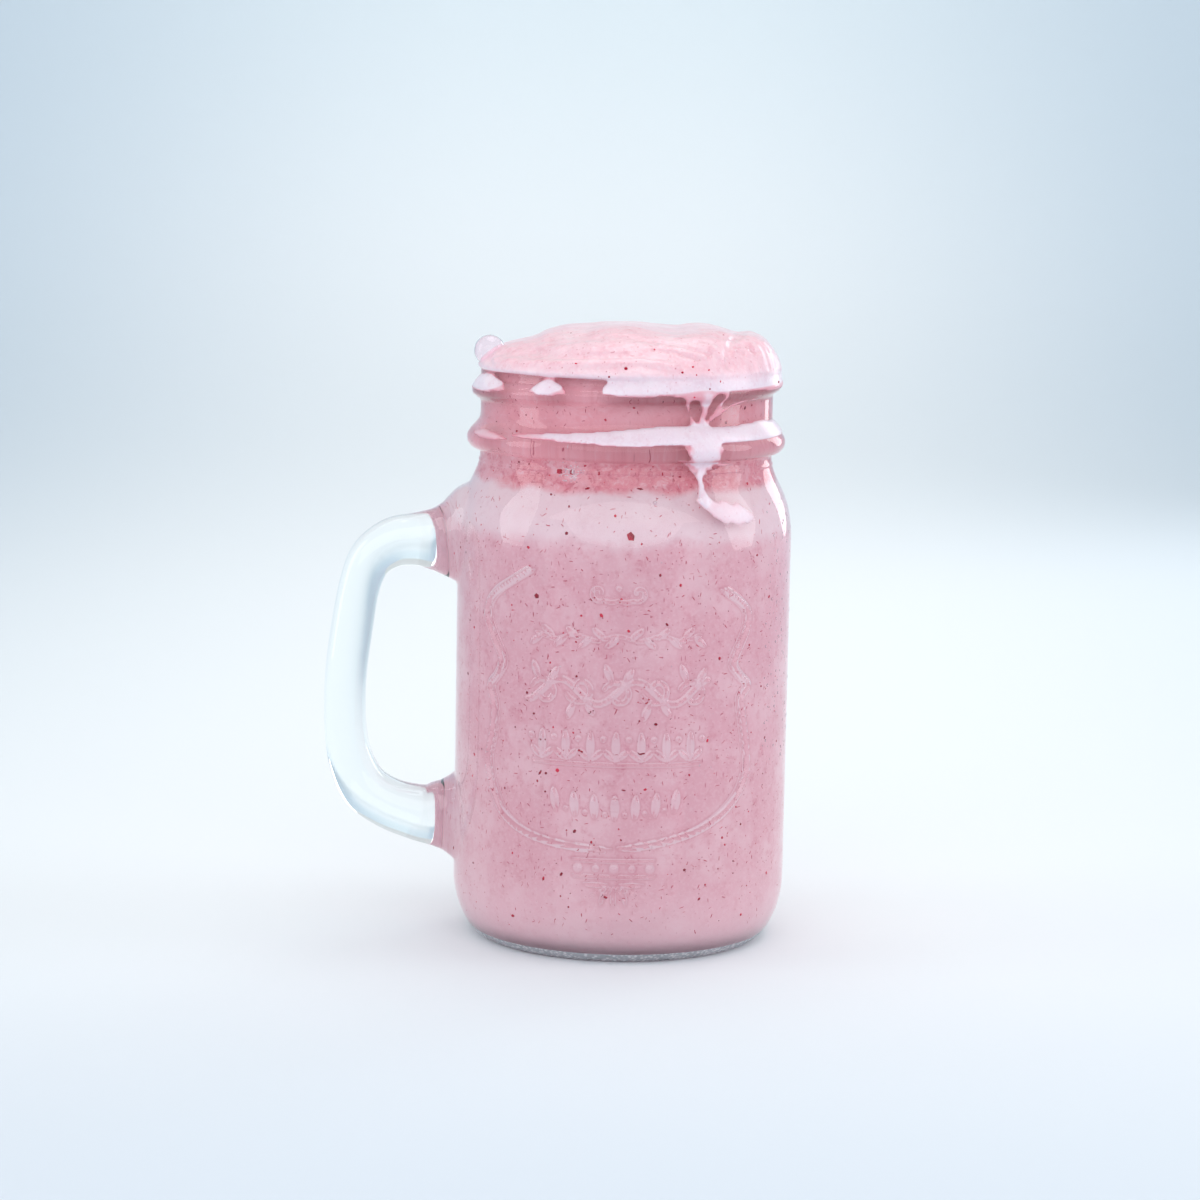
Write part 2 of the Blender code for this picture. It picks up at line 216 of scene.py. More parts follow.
def chain(*runs):
    """Runs of profile points as one, without the points that two neighbours share."""
    points = list(runs[0])
    for run in runs[1:]:
        points += [p for k, p in enumerate(run) if k or math.dist(p, points[-1]) > 0.01 * MM]
    return points


def turn_on_the_wheel(name, profile, sweeps):
    """Draws a profile by extruding one corner along it, and spins it through the sweeps in turn.

    sweeps are (degrees, columns), and start at the front's left edge. Seen from above the operator
    turns clockwise for a positive angle, so a negative one leads across the front to the right.
    """
    start = -FRONT_EDGE_DEG
    line = [round_the_jar(start, r, z) for r, z in profile]
    bpy.ops.object.select_all(action="DESELECT")
    bpy.ops.mesh.primitive_plane_add(size=MM, location=line[0])
    piece = bpy.context.object
    piece.name = piece.data.name = name
    bake_place(piece)
    edit(piece)
    bpy.ops.mesh.merge(type="CENTER")
    for here, there in zip(line, line[1:]):
        bpy.ops.mesh.extrude_region_move(TRANSFORM_OT_translate={"value": there - here})
    bpy.ops.mesh.select_all(action="SELECT")
    for degrees, columns in sweeps:
        bpy.ops.mesh.spin(
            steps=columns, angle=-math.radians(degrees), center=(AXIS_X, 0.0, 0.0), axis=(0.0, 0.0, 1.0)
        )
    bpy.ops.mesh.select_all(action="SELECT")
    bpy.ops.mesh.remove_doubles(threshold=0.002 * MM)
    bpy.ops.mesh.normals_make_consistent(inside=False)
    leave_edit()
    return piece


# %% [markdown]
# ## The glass wall
#
# The inside is a plain pressed hollow with a round corner at the floor and a smooth shoulder. The
# outside has the rim, the bead, the long shoulder curve, the heel and a ring-shaped foot round a
# shallow recess. Under the bead runs a fine line, where the mould's neck ring met its body.

# %% The glass profile
BEAD_RADIUS = 36.2 * MM
BEAD_ROUNDING = 2.6 * MM
BEAD_MIDDLE = 114.3 * MM
BEAD_ROOT = 119.8 * MM
SHOULDER_TOP = 111.0 * MM
HEEL_TOP = 14.0 * MM
HEEL_POWER = 1.8
FOOT_RADIUS = 31.0 * MM
FOOT_WIDTH = 2.4 * MM
FOOT_RECESS = 1.2 * MM
FLOOR_RADIUS = 25.0 * MM
FLOOR_CORNER_TOP = 17.6 * MM
HOLLOW_SHOULDER = (89.5 * MM, 109.5 * MM)


def hollow_profile(grow, floor_steps, side_steps):
    """The inside from the middle of the floor to the foot of the rim's rounding, grown into the wall."""
    body = BODY_INSIDE_RADIUS + grow
    neck = NECK_INSIDE_RADIUS + grow
    floor = FLOOR_TOP - grow
    low, high = HOLLOW_SHOULDER
    pull = 2.5 * MM
    return chain(
        straight((0.0, floor), (FLOOR_RADIUS, floor), floor_steps),
        bezier(
            (FLOOR_RADIUS, floor), (body - pull, floor), (body, floor + pull), (body, FLOOR_CORNER_TOP), 12
        ),
        straight((body, FLOOR_CORNER_TOP), (body, low), side_steps),
        bezier((body, low), (body, 101.0 * MM), (neck, 102.5 * MM), (neck, high), 12),
        straight((neck, high), (neck, RIM_TOP - RIM_ROUNDING), 3),
    )


def upper_outside(grow, fineness):
    """From the top of the rim down to the foot of the shoulder. fineness scales the number of rows."""
    rim = (NECK_INSIDE_RADIUS + RIM_ROUNDING, RIM_TOP - RIM_ROUNDING)
    bead = (BEAD_RADIUS - BEAD_ROUNDING, BEAD_MIDDLE)
    neck = NECK_RADIUS + grow
    body = BODY_RADIUS + grow
    bead_arc = arc(bead, BEAD_ROUNDING + grow, 40, -82, round(14 * fineness))
    shoulder = bezier(
        (neck, SHOULDER_TOP), (neck, 105.0 * MM), (body, 103.8 * MM), (body, SHOULDER_BOTTOM), 60
    )
    fine = [p for p in shoulder if p[1] > 108.0 * MM]
    rest = [p for k, p in enumerate(shoulder) if p[1] <= 108.0 * MM and k % round(2 / fineness) == 0]
    return chain(
        arc(rim, RIM_ROUNDING + grow, 90, 0, 6),
        straight((neck, rim[1]), (neck, BEAD_ROOT), round(28 * fineness)),
        bezier((neck, BEAD_ROOT), (neck, 118.0 * MM), (35.0 * MM + grow, 117.0 * MM), bead_arc[0],
               round(9 * fineness)),
        bead_arc,
        bezier(bead_arc[-1], (33.6 * MM + grow, 111.7 * MM), (neck, 111.8 * MM), (neck, SHOULDER_TOP), 3),
        fine, rest, [shoulder[-1]],
    )


def foot_profile():
    """The heel, the flat ring that the jar stands on and the shallow recess inside it."""
    heel = []
    for turn in np.radians(np.linspace(0.0, 90.0, 15)):
        out = max(math.cos(turn), 0.0) ** (2 / HEEL_POWER)
        down = math.sin(turn) ** (2 / HEEL_POWER)
        heel.append((FOOT_RADIUS + (BODY_RADIUS - FOOT_RADIUS) * out, HEEL_TOP * (1 - down)))
    inner_edge = FOOT_RADIUS - FOOT_WIDTH
    ring = straight((FOOT_RADIUS, 0.0), (inner_edge, 0.0), 6)
    recess = bezier((inner_edge, 0.0), (inner_edge - MM, 0.0), (inner_edge - MM, FOOT_RECESS),
                    (inner_edge - 3 * MM, FOOT_RECESS), 4)
    return chain(heel, ring, recess, [(0.0, FOOT_RECESS)])


# %% Spin the glass
ORNAMENT_ROW = 0.5 * MM
body_rows = round((SHOULDER_BOTTOM - HEEL_TOP) / ORNAMENT_ROW)
inner_rim = arc((NECK_INSIDE_RADIUS + RIM_ROUNDING, RIM_TOP - RIM_ROUNDING), RIM_ROUNDING, 180, 90, 5)
glass_profile = chain(
    hollow_profile(0.0, 5, 6),
    inner_rim,
    upper_outside(0.0, 1.0),
    straight((BODY_RADIUS, SHOULDER_BOTTOM), (BODY_RADIUS, HEEL_TOP), body_rows),
    foot_profile(),
)
glass_sweeps = ((2 * FRONT_EDGE_DEG, FRONT_COLUMNS), (360 - 2 * FRONT_EDGE_DEG, BACK_COLUMNS))
jar_glass = turn_on_the_wheel("jar_glass", glass_profile, glass_sweeps)
print("glass wall:", len(glass_profile), "rows,", triangles(jar_glass), "triangles")

# %% [markdown]
# ## The screw thread and the mould lines
#
# The thread climbs to the right across the front, one turn in all, and fades out at both ends.
# Pushing the neck's rows outward by a rounded hump that follows the helix gives the soft foot that
# pressed glass has, which a bar joined on would not. The mould lines are the same trick with a very
# narrow hump: one round the neck, and one up the handle's side, where the mould opened.

# %% Thread and mould lines
THREAD_PITCH = 5.08 * MM
THREAD_MIDDLE = 126.2 * MM
THREAD_HEIGHT = 2.0 * MM
THREAD_HALF_WIDTH = 2.55 * MM
THREAD_FADE_DEG = 30.0
THREAD_TOP = RIM_TOP - 0.4 * MM
NECK_LINE = 109.4 * MM
NECK_LINE_HEIGHT = 0.16 * MM
NECK_LINE_HALF_WIDTH = 0.45 * MM
SIDE_LINE_HEIGHT = 0.05 * MM
SIDE_LINE_HALF_WIDTH = 0.8 * MM
SIDE_LINE_TOP = 104 * MM
WALL_A_DEGREE = 0.665 * MM


def hump(distance, half_width):
    """1 on the line and 0 at half_width from it, rounded at the crest and at the foot."""
    share = np.clip(np.abs(distance) / half_width, 0.0, 1.0)
    return np.cos(0.5 * np.pi * share**1.35) ** 2


def thread_relief(azimuth, height):
    middle = THREAD_MIDDLE + THREAD_PITCH * azimuth / 360
    fade = np.clip((180.0 - np.abs(azimuth)) / THREAD_FADE_DEG, 0.0, 1.0)
    return THREAD_HEIGHT * hump(height - middle, THREAD_HALF_WIDTH) * fade * fade * (3 - 2 * fade)


def press_thread(piece, reach_inside):
    """Pushes the outside of the neck out along the thread."""
    azimuth, radius, height = cylinder_places(corners(piece))
    outside = radius > reach_inside
    on_neck = outside & (height > BEAD_ROOT) & (height < THREAD_TOP)
    radius = radius + np.where(on_neck, thread_relief(azimuth, height), 0.0)
    move_corners(piece, from_cylinder(azimuth, radius, height))


press_thread(jar_glass, NECK_INSIDE_RADIUS + RIM_ROUNDING)
azimuth, radius, height = cylinder_places(corners(jar_glass))
neck_line = (radius > NECK_RADIUS - 0.1 * MM) * hump(height - NECK_LINE, NECK_LINE_HALF_WIDTH)
beside_handle = (radius > BODY_INSIDE_RADIUS + MM) & (height < SIDE_LINE_TOP) & (height > MM) & (azimuth < 0)
side_line = beside_handle * hump((azimuth + 90.0) * WALL_A_DEGREE, SIDE_LINE_HALF_WIDTH)
radius = radius + NECK_LINE_HEIGHT * neck_line + SIDE_LINE_HEIGHT * side_line
move_corners(jar_glass, from_cylinder(azimuth, radius, height))
print("thread crest at", round(float(NECK_RADIUS + THREAD_HEIGHT) / MM, 2), "mm from the axis")

# %% [markdown]
# ## The raised ornament
#
# On jars like this the mould also pressed a bracket-shaped frame with a design in it. Here the
# design is generic: a garland, a running scroll, a row of leaves, a row of petals and some beads.
# Each stroke is a line of points with a width, laid flat on the unrolled front. The wall is pushed
# out under every stroke with a rounded section, so the strokes melt into the wall.

# %% Strokes on the unrolled front
ORNAMENT_MIDDLE_DEG = -1.8
MM_A_DEGREE = math.radians(1.0) * BODY_RADIUS / MM
# Azimuth and height of the frame's left and right halves
FRAME_LEFT = (
    (-33.0, 87.8), (-35.2, 87.0), (-40.9, 84.8), (-47.0, 82.4), (-51.0, 79.8), (-52.3, 77.4), (-51.5, 74.9),
    (-48.7, 71.7), (-45.0, 68.0), (-44.7, 66.0), (-46.9, 63.4), (-50.4, 60.8), (-48.6, 57.6), (-48.1, 54.3),
    (-49.5, 48.5), (-51.0, 44.5), (-49.8, 40.5), (-47.8, 37.1), (-43.8, 33.1), (-37.2, 30.2), (-29.1, 28.4),
    (-18.2, 27.2), (-5.0, 26.6),
)
FRAME_RIGHT = (
    (36.0, 83.9), (39.1, 82.5), (43.2, 80.7), (46.6, 78.2), (45.9, 74.6), (43.2, 71.4), (40.6, 68.2),
    (40.7, 66.5), (43.6, 64.2), (47.3, 62.1), (44.7, 60.3), (43.9, 58.6), (45.1, 54.4), (46.9, 48.6),
    (47.6, 43.9), (46.4, 41.0), (44.0, 38.3), (41.0, 36.2), (35.3, 33.3), (26.6, 30.5), (15.1, 28.4),
    (1.5, 26.9),
)
FRAME_HALF_WIDTH = 0.9
LINE_HALF_WIDTH = 0.72
BOLD_HALF_WIDTH = 0.85
FRAME_PROUD = 0.6
LINE_PROUD = 0.40


def smooth_line(points, between=5):
    """More points on a Catmull-Rom curve through the given ones."""
    ends = [points[0], *points, points[-1]]
    made = []
    for a, b, c, d in zip(ends, ends[1:], ends[2:], ends[3:]):
        for t in np.arange(between) / between:
            made.append(tuple(
                0.5 * (2 * q + (r - p) * t + (2 * p - 5 * q + 4 * r - s) * t * t
                       + (3 * q - p - 3 * r + s) * t**3)
                for p, q, r, s in zip(a, b, c, d)
            ))
    return [*made, points[-1]]


def spiral(centre, start_radius, end_radius, start_deg, turn_deg, steps=26):
    points = []
    for t in np.linspace(0.0, 1.0, steps):
        angle = math.radians(start_deg + turn_deg * t)
        reach = start_radius + (end_radius - start_radius) * t**0.8
        points.append((centre[0] + reach * math.cos(angle), centre[1] + reach * math.sin(angle)))
    return points


def line_stroke(points, half_width=LINE_HALF_WIDTH, proud=LINE_PROUD):
    """Points across and up the unrolled front in millimetres, with thinner ends."""
    last = len(points) - 1
    ends = [min(k, last - k, 2) for k in range(last + 1)]
    return [(across, up, half_width * (0.55 + 0.225 * e)) for (across, up), e in zip(points, ends)], proud


def leaf(root, angle_deg, length, half_width, proud=LINE_PROUD):
    turn = math.radians(angle_deg)
    widths = (0.3, 0.85, 1.0, 0.7, 0.2)
    return [
        (root[0] + length * t * math.cos(turn), root[1] + length * t * math.sin(turn), half_width * w)
        for t, w in zip((0.0, 0.3, 0.55, 0.8, 1.0), widths)
    ], proud


def bead(place, half_width, proud=LINE_PROUD):
    return [(*place, half_width), (place[0] + 0.05, place[1], half_width)], proud


def mirrored(stroke):
    points, proud = stroke
    return [(-across, up, half_width) for across, up, half_width in points], proud


# %% [markdown]
# Each row of the design has its own function. What stands on both sides is drawn once and mirrored.


# %% The design
def frame_strokes():
    """Both halves of the frame, a fine ridge beside each, and the azimuths as places on the flat."""
    made = []
    for side, inward in ((FRAME_LEFT, 1.0), (FRAME_RIGHT, -1.0)):
        line = smooth_line([((azimuth - ORNAMENT_MIDDLE_DEG) * MM_A_DEGREE, up) for azimuth, up in side], 4)
        made.append(line_stroke(line, FRAME_HALF_WIDTH, FRAME_PROUD))
        made.append(line_stroke([(across + inward * 1.5, up) for across, up in line], 0.4, 0.22))
    return made


def crest_flourish():
    """A small double curl under the open top of the frame."""
    curl = spiral((4.4, 83.6), 2.1, 0.5, 235, 330)
    stem = smooth_line([(0.0, 81.9), (1.6, 81.6), curl[0]])
    half = line_stroke(stem + curl[1:], 0.5, 0.34)
    return [half, mirrored(half), bead((0.0, 84.6), 0.75, 0.36)]


def garland():
    """A thin wavy stem with leaves on both sides."""
    reach, leaves = 19.0, 13
    stem = [(across, 73.6 + 0.55 * math.cos(across * 0.66)) for across in np.linspace(-reach, reach, 60)]
    strokes = [line_stroke(stem, 0.42, 0.28)]
    for k in range(leaves):
        across = -reach + 1.6 + (2 * reach - 3.2) * k / (leaves - 1)
        side = 1 if k % 2 else -1
        lean = 38 if across > 0 else 142
        strokes.append(leaf((across, 73.6), side * lean, 3.3, 0.85, 0.42))
    return strokes


def running_scroll():
    """A vine that waves across the front, with a curl and two leaves in every wave."""
    reach, middle, waves = 21.0, 61.6, 5
    turns = math.pi * waves / (2 * reach)
    vine = [(x, middle + 2.6 * math.sin(x * turns)) for x in np.linspace(-reach, reach, 70)]
    strokes = [line_stroke(vine, BOLD_HALF_WIDTH, 0.46)]
    for k in range(waves):
        across = -reach + (2 * k + 1) * reach / waves
        side = 1 if k % 2 else -1
        curl = spiral((across + 0.4, middle + side * 0.6), 3.5, 0.8, 200 * side, 400 * side, 36)
        strokes.append(line_stroke(curl, 0.65, 0.42))
        strokes.append(leaf((across - 1.2, middle - side * 2.6), -side * 112, 3.6, 1.05, 0.44))
        strokes.append(leaf((across + 1.6, middle - side * 2.4), -side * 55, 3.2, 0.95, 0.42))
    return strokes


def leaf_row():
    """Three-lobed leaves that stand side by side on a thin bar."""
    strokes = [line_stroke([(t, 45.6) for t in np.linspace(-19.0, 19.0, 24)], 0.45, 0.32)]
    for k in range(-3, 4):
        root = (5.6 * k, 46.6)
        for angle, length, wide in ((90, 6.0, 1.15), (38, 3.4, 0.9), (142, 3.4, 0.9)):
            strokes.append(leaf(root, angle, length, wide, 0.44))
    for k in range(-4, 4):
        strokes.append(bead((5.6 * k + 2.8, 51.2), 0.8, 0.4))
    return strokes


def petal_fan():
    """Short upright petals with beads between, in a slightly sagging row."""
    strokes = []
    for k in range(-3, 4):
        place = (4.4 * k, 33.6 + 0.16 * k * k)
        strokes.append(leaf(place, 90 - 3 * k, 4.8, 1.25, 0.46))
        if k < 3:
            strokes.append(bead((4.4 * k + 2.2, 34.4 + 0.16 * (k + 0.5) ** 2), 0.6, 0.36))
    return strokes


def foot_ornament():
    """Below the frame: two short bars with beads between, and a small shell."""
    strokes = [bead((4.0 * k, 22.3), 1.0 if k % 2 else 1.35, 0.4) for k in range(-2, 3)]
    for up in (24.1, 20.5):
        strokes.append(line_stroke([(t, up) for t in np.linspace(-9.0, 9.0, 12)], 0.45, 0.3))
    for k in range(5):
        angle = -90 + 30 * (k - 2)
        strokes.append(leaf((0.9 * (k - 2), 18.0), angle, 3.9, 0.75, 0.4))
    bar = line_stroke([(t, 18.7) for t in np.linspace(1.4, 6.6, 6)], 0.5, 0.36)
    return strokes + [bar, mirrored(bar)]


strokes = (frame_strokes() + crest_flourish() + garland() + running_scroll() + leaf_row()
           + petal_fan() + foot_ornament())
print("ornament:", len(strokes), "strokes")


# %% Press the ornament
def along_line(across, up, start, end):
    """For each place: its share of the way from start to end, and its distance to that line."""
    dx, dz = end[0] - start[0], end[1] - start[1]
    share = ((across - start[0]) * dx + (up - start[1]) * dz) / max(dx * dx + dz * dz, 1e-9)
    share = np.clip(share, 0.0, 1.0)
    return share, np.hypot(across - start[0] - share * dx, up - start[1] - share * dz)


def stroke_relief(across, up, strokes):
    """How far each place stands out, in millimetres, under all the strokes."""
    proud_of = np.zeros(len(across))
    for points, proud in strokes:
        for (x0, z0, w0), (x1, z1, w1) in zip(points, points[1:]):
            wide = max(w0, w1)
            near = np.flatnonzero(
                (across > min(x0, x1) - wide) & (across < max(x0, x1) + wide)
                & (up > min(z0, z1) - wide) & (up < max(z0, z1) + wide)
            )
            if len(near) == 0:
                continue
            share, away = along_line(across[near], up[near], (x0, z0), (x1, z1))
            proud_of[near] = np.maximum(proud_of[near], proud * hump(away, w0 + (w1 - w0) * share))
    return proud_of


# The relief's scale, the lowest height that it reaches, and how far forward it may come, in millimetres
RELIEF_SCALE = 1.35
RELIEF_FOOT = 13.0
FRONT_LIMIT = 38.6
azimuth, radius, height = cylinder_places(corners(jar_glass))
on_front = (radius > BODY_INSIDE_RADIUS + MM) & (height > RELIEF_FOOT * MM)
on_front &= np.abs(azimuth) < FRONT_EDGE_DEG
across = (azimuth[on_front] - ORNAMENT_MIDDLE_DEG) * MM_A_DEGREE
pushed = RELIEF_SCALE * stroke_relief(across, height[on_front] / MM, strokes)
room = FRONT_LIMIT / np.cos(np.radians(azimuth[on_front])) - BODY_RADIUS / MM
pushed = np.minimum(pushed, room)
radius[on_front] += pushed * MM
move_corners(jar_glass, from_cylinder(azimuth, radius, height))
print("ornament moves", int((pushed > 0.01).sum()), "corners, at most", round(float(pushed.max()), 2), "mm")

# %% [markdown]
# The ring that the jar stands on is stippled, so that hot glass cools evenly. Small dents along the
# ring, deepest at its outer edge, do that. The ring still touches the table between the dents.

# %% Stipple the foot
DENTS = 92
DENT_DEPTH = 0.38 * MM
DENT_REACH = 1.6 * MM
azimuth, radius, height = cylinder_places(corners(jar_glass))
ring_share = np.clip((radius - (FOOT_RADIUS - FOOT_WIDTH)) / FOOT_WIDTH, 0.0, 1.0)
on_ring = (height < DENT_REACH) & (radius > FOOT_RADIUS - FOOT_WIDTH - 0.05 * MM)
uneven = 0.6 + 0.4 * np.sin(azimuth * 0.35 + 1.3) * np.sin(azimuth * 0.11)
dent = np.clip(np.sin(np.radians(azimuth) * DENTS) * 1.4, 0.0, 1.0) * uneven
fall_off = np.clip(1.0 - height / DENT_REACH, 0.0, 1.0)
height = height + np.where(on_ring, DENT_DEPTH * dent * fall_off * ring_share**0.5, 0.0)
move_corners(jar_glass, from_cylinder(azimuth, radius, height))
print("stippled foot with", DENTS, "dents")

# %% [markdown]
# A pressed wall is never an even one. Soft waves on its back, a quarter of a millimetre deep, keep
# light that enters at the handle from running round and round in the wall.

# %% Uneven back
WAVE_DEPTH = 0.24 * MM


def back_share(azimuth, height, first_deg, low, high, fade):
    """1 on the back between two heights, 0 on the front, above and below, with a fade between."""
    behind = np.clip((np.abs(azimuth) - first_deg) / 10.0, 0.0, 1.0)
    return behind * np.clip((height - low) / fade, 0.0, 1.0) * np.clip((high - height) / fade, 0.0, 1.0)


azimuth, radius, height = cylinder_places(corners(jar_glass))
behind = back_share(azimuth, height, 97.0, 10 * MM, 102 * MM, 4 * MM) * (radius > BODY_INSIDE_RADIUS + MM)
waves = 0.5 + 0.28 * np.sin(0.33 * azimuth + 90 * height) + 0.22 * np.sin(0.52 * azimuth - 140 * height + 1)
move_corners(jar_glass, from_cylinder(azimuth, radius - WAVE_DEPTH * behind * waves, height))
print("waves on the back, deepest", round(float((WAVE_DEPTH * behind * waves).max()) / MM, 2), "mm")

# %% [markdown]
# ## The handle
#
# The handle is a thick bar of glass that leaves the shoulder, turns down and comes back at the
# heel, wide at both roots. Every section has its own thickness, depth and tilt, which an extrusion
# by hand would only approach, so the rings are placed by a loop along the same stations as the
# solid's. A Boolean union then melts it into the wall, with no glass left inside the glass.

# %% Handle
HANDLE_STATIONS = (
    (-35.3, 91.0, 12.8, 13.2), (-37.0, 90.9, 11.8, 11.4), (-38.8, 90.7, 10.2, 9.8),
    (-40.8, 90.5, 8.7, 8.2), (-43.4, 90.4, 7.2, 6.9), (-47.5, 90.3, 6.0, 6.3), (-52.7, 89.5, 5.6, 6.2),
    (-57.6, 86.0, 5.1, 6.2), (-60.3, 79.6, 4.7, 6.2), (-62.2, 68.5, 4.8, 6.2),
    (-63.4, 58.0, 4.75, 6.2), (-63.4, 47.5, 4.75, 6.2), (-62.3, 39.8, 5.0, 6.2),
    (-59.0, 32.8, 5.5, 6.2), (-53.2, 28.8, 5.7, 6.2), (-46.2, 26.7, 6.4, 6.3),
    (-42.2, 26.5, 7.5, 7.0), (-40.2, 26.5, 8.4, 8.2), (-38.6, 26.5, 9.5, 9.8),
    (-37.0, 26.5, 10.8, 11.4), (-35.3, 26.5, 11.8, 13.2),
)
HANDLE_SIDES = 48
HANDLE_SQUARENESS = 2.7
# The zone round the roots whose corners are merged and smoothed
ROOT_ZONE_DEG = 22.0
ROOT_RADII = (BODY_INSIDE_RADIUS + 0.6 * MM, 42 * MM)
ROOT_HEIGHTS = (13 * MM, 107 * MM)
ROOT_MERGE = 0.2 * MM


def handle_rings():
    """A ring of points for each station: a rounded square of the station's thickness and depth."""
    stations = smooth_line(HANDLE_STATIONS, 5)
    last = len(stations) - 1
    rings = []
    for k, (x, z, thick, deep) in enumerate(stations):
        before, after = stations[max(k - 1, 0)], stations[min(k + 1, last)]
        along = Vector((after[0] - before[0], 0.0, after[1] - before[1]))
        if k in (0, last):
            along.z = 0.0
        along.normalize()
        across = Vector((-along.z, 0.0, along.x))
        ring = []
        for turn in np.linspace(0.0, 2 * math.pi, HANDLE_SIDES, endpoint=False):
            c, s = math.cos(turn), math.sin(turn)
            out = math.copysign(abs(c) ** (2 / HANDLE_SQUARENESS), c) * thick
            side = math.copysign(abs(s) ** (2 / HANDLE_SQUARENESS), s) * deep
            ring.append((Vector((x, side, z)) + across * out) * MM + Vector((AXIS_X, 0.0, 0.0)))
        rings.append(ring)
    return rings


shape = bmesh.new()
rings = [[shape.verts.new(point) for point in ring] for ring in handle_rings()]
for lower, upper in zip(rings, rings[1:]):
    for k in range(HANDLE_SIDES):
        n = (k + 1) % HANDLE_SIDES
        shape.faces.new((lower[k], lower[n], upper[n], upper[k]))
shape.faces.new(rings[0])
shape.faces.new(rings[-1])
bmesh.ops.recalc_face_normals(shape, faces=shape.faces)
handle_mesh = bpy.data.meshes.new("handle")
shape.to_mesh(handle_mesh)
shape.free()
handle = bpy.data.objects.new("handle", handle_mesh)
bpy.context.scene.collection.objects.link(handle)
apply_modifier(jar_glass, "BOOLEAN", operation="UNION", solver="EXACT", object=handle)
bpy.data.objects.remove(handle, do_unlink=True)
azimuth, radius, height = cylinder_places(corners(jar_glass))
at_root = (np.abs(azimuth + 90) < ROOT_ZONE_DEG) & (radius > ROOT_RADII[0]) & (radius < ROOT_RADII[1])
at_root &= (height > ROOT_HEIGHTS[0]) & (height < ROOT_HEIGHTS[1])
edit(jar_glass)
bpy.ops.mesh.select_all(action="DESELECT")
leave_edit()
jar_glass.data.vertices.foreach_set("select", at_root)
bpy.ops.object.mode_set(mode="EDIT")
bpy.ops.mesh.remove_doubles(threshold=ROOT_MERGE)
bpy.ops.mesh.vertices_smooth(factor=0.5, repeat=5)
leave_edit()
only(jar_glass)
bpy.ops.object.shade_smooth_by_angle(angle=math.radians(42))
print("glass with its handle:", triangles(jar_glass), "triangles")

# %% [markdown]
# ## The filling
#
# Drink wets the glass, so there is no air between them. The filling is therefore turned from the
# hollow's own profile, grown a third of a millimetre into the wall. Light then goes from glass
# straight to drink, and the drink looks as wide as the jar, as it does in a real one. Two places go
# deeper into the glass, where nobody can tell: the floor, so that the pink reaches the foot, and the
# back, where light that the handle leads round inside the wall then ends on drink.

# %% Filling
INTO_WALL = 0.35 * MM
FLOOR_SINK = 1.4 * MM
BACK_SWELL = 2.1 * MM
FILLING_FRONT_COLUMNS = 300
FILLING_BACK_COLUMNS = 60
FILL_TOP = RIM_TOP + 1.2 * MM
rim_middle = NECK_INSIDE_RADIUS + RIM_ROUNDING
inner_rim_grown = arc((rim_middle, RIM_TOP - RIM_ROUNDING), RIM_ROUNDING - INTO_WALL, 180, 90, 5)
filling_profile = chain(
    hollow_profile(INTO_WALL, 6, 200),
    inner_rim_grown,
    [(rim_middle, FILL_TOP), (0.0, FILL_TOP)],
)
floor_corner = FLOOR_CORNER_TOP - FLOOR_TOP
filling_profile = [
    (r, z - FLOOR_SINK * max(0.0, 1 - (z - FLOOR_TOP) / floor_corner)) for r, z in filling_profile
]
filling_sweeps = (
    (2 * FRONT_EDGE_DEG, FILLING_FRONT_COLUMNS), (360 - 2 * FRONT_EDGE_DEG, FILLING_BACK_COLUMNS),
)
shake_filling = turn_on_the_wheel("shake_filling", filling_profile, filling_sweeps)
azimuth, radius, height = cylinder_places(corners(shake_filling))
swell = back_share(azimuth, height, 98.0, 14 * MM, 97 * MM, 6 * MM) * (radius > BODY_INSIDE_RADIUS)
move_corners(shake_filling, from_cylinder(azimuth, radius + BACK_SWELL * swell, height))
only(shake_filling)
bpy.ops.object.shade_smooth_by_angle(angle=math.radians(40))
print("filling:", triangles(shake_filling), "triangles")

# %% [markdown]
# Every raised stroke is a long lens. It gathers the light from the front into a bright line on the
# drink behind it, and takes that light from both sides of the line. Light that crosses the glass as
# shadow rays isn't bent, so this is kept with the drink, as two attributes that its colour uses.
# Light from the front bends in the wall, so the line lies a little further round than its stroke.

# %% Light gathered by the ornament
GLASS_IOR = 1.52


def gathered_under(azimuth, height, grown):
    """How much of a stroke's light falls here, 0 to 1, with each stroke grown by some millimetres."""
    bent_deg = np.degrees(np.arcsin(np.sin(np.radians(azimuth)) / GLASS_IOR))
    further = (BODY_RADIUS - BODY_INSIDE_RADIUS) / MM * np.tan(np.radians(bent_deg))
    across = (azimuth - ORNAMENT_MIDDLE_DEG) * MM_A_DEGREE - further
    wider = [
        ([(x, z, w + grown) for x, z, w in points], 1.0 if proud >= FRAME_PROUD else 0.75)
        for points, proud in strokes
    ]
    return stroke_relief(across, height / MM, wider)


azimuth, radius, height = cylinder_places(corners(shake_filling))
near_front = (radius > BODY_INSIDE_RADIUS) & (height > RELIEF_FOOT * MM) & (np.abs(azimuth) < FRONT_EDGE_DEG)
for name, grown in (("gathered", 0.1), ("robbed", 0.8)):
    amount = np.zeros(len(azimuth))
    amount[near_front] = gathered_under(azimuth[near_front], height[near_front], grown)
    shake_filling.data.attributes.new(name, "FLOAT", "POINT").data.foreach_set("value", amount)
    print(name, "on", int((amount > 0.3).sum()), "corners")

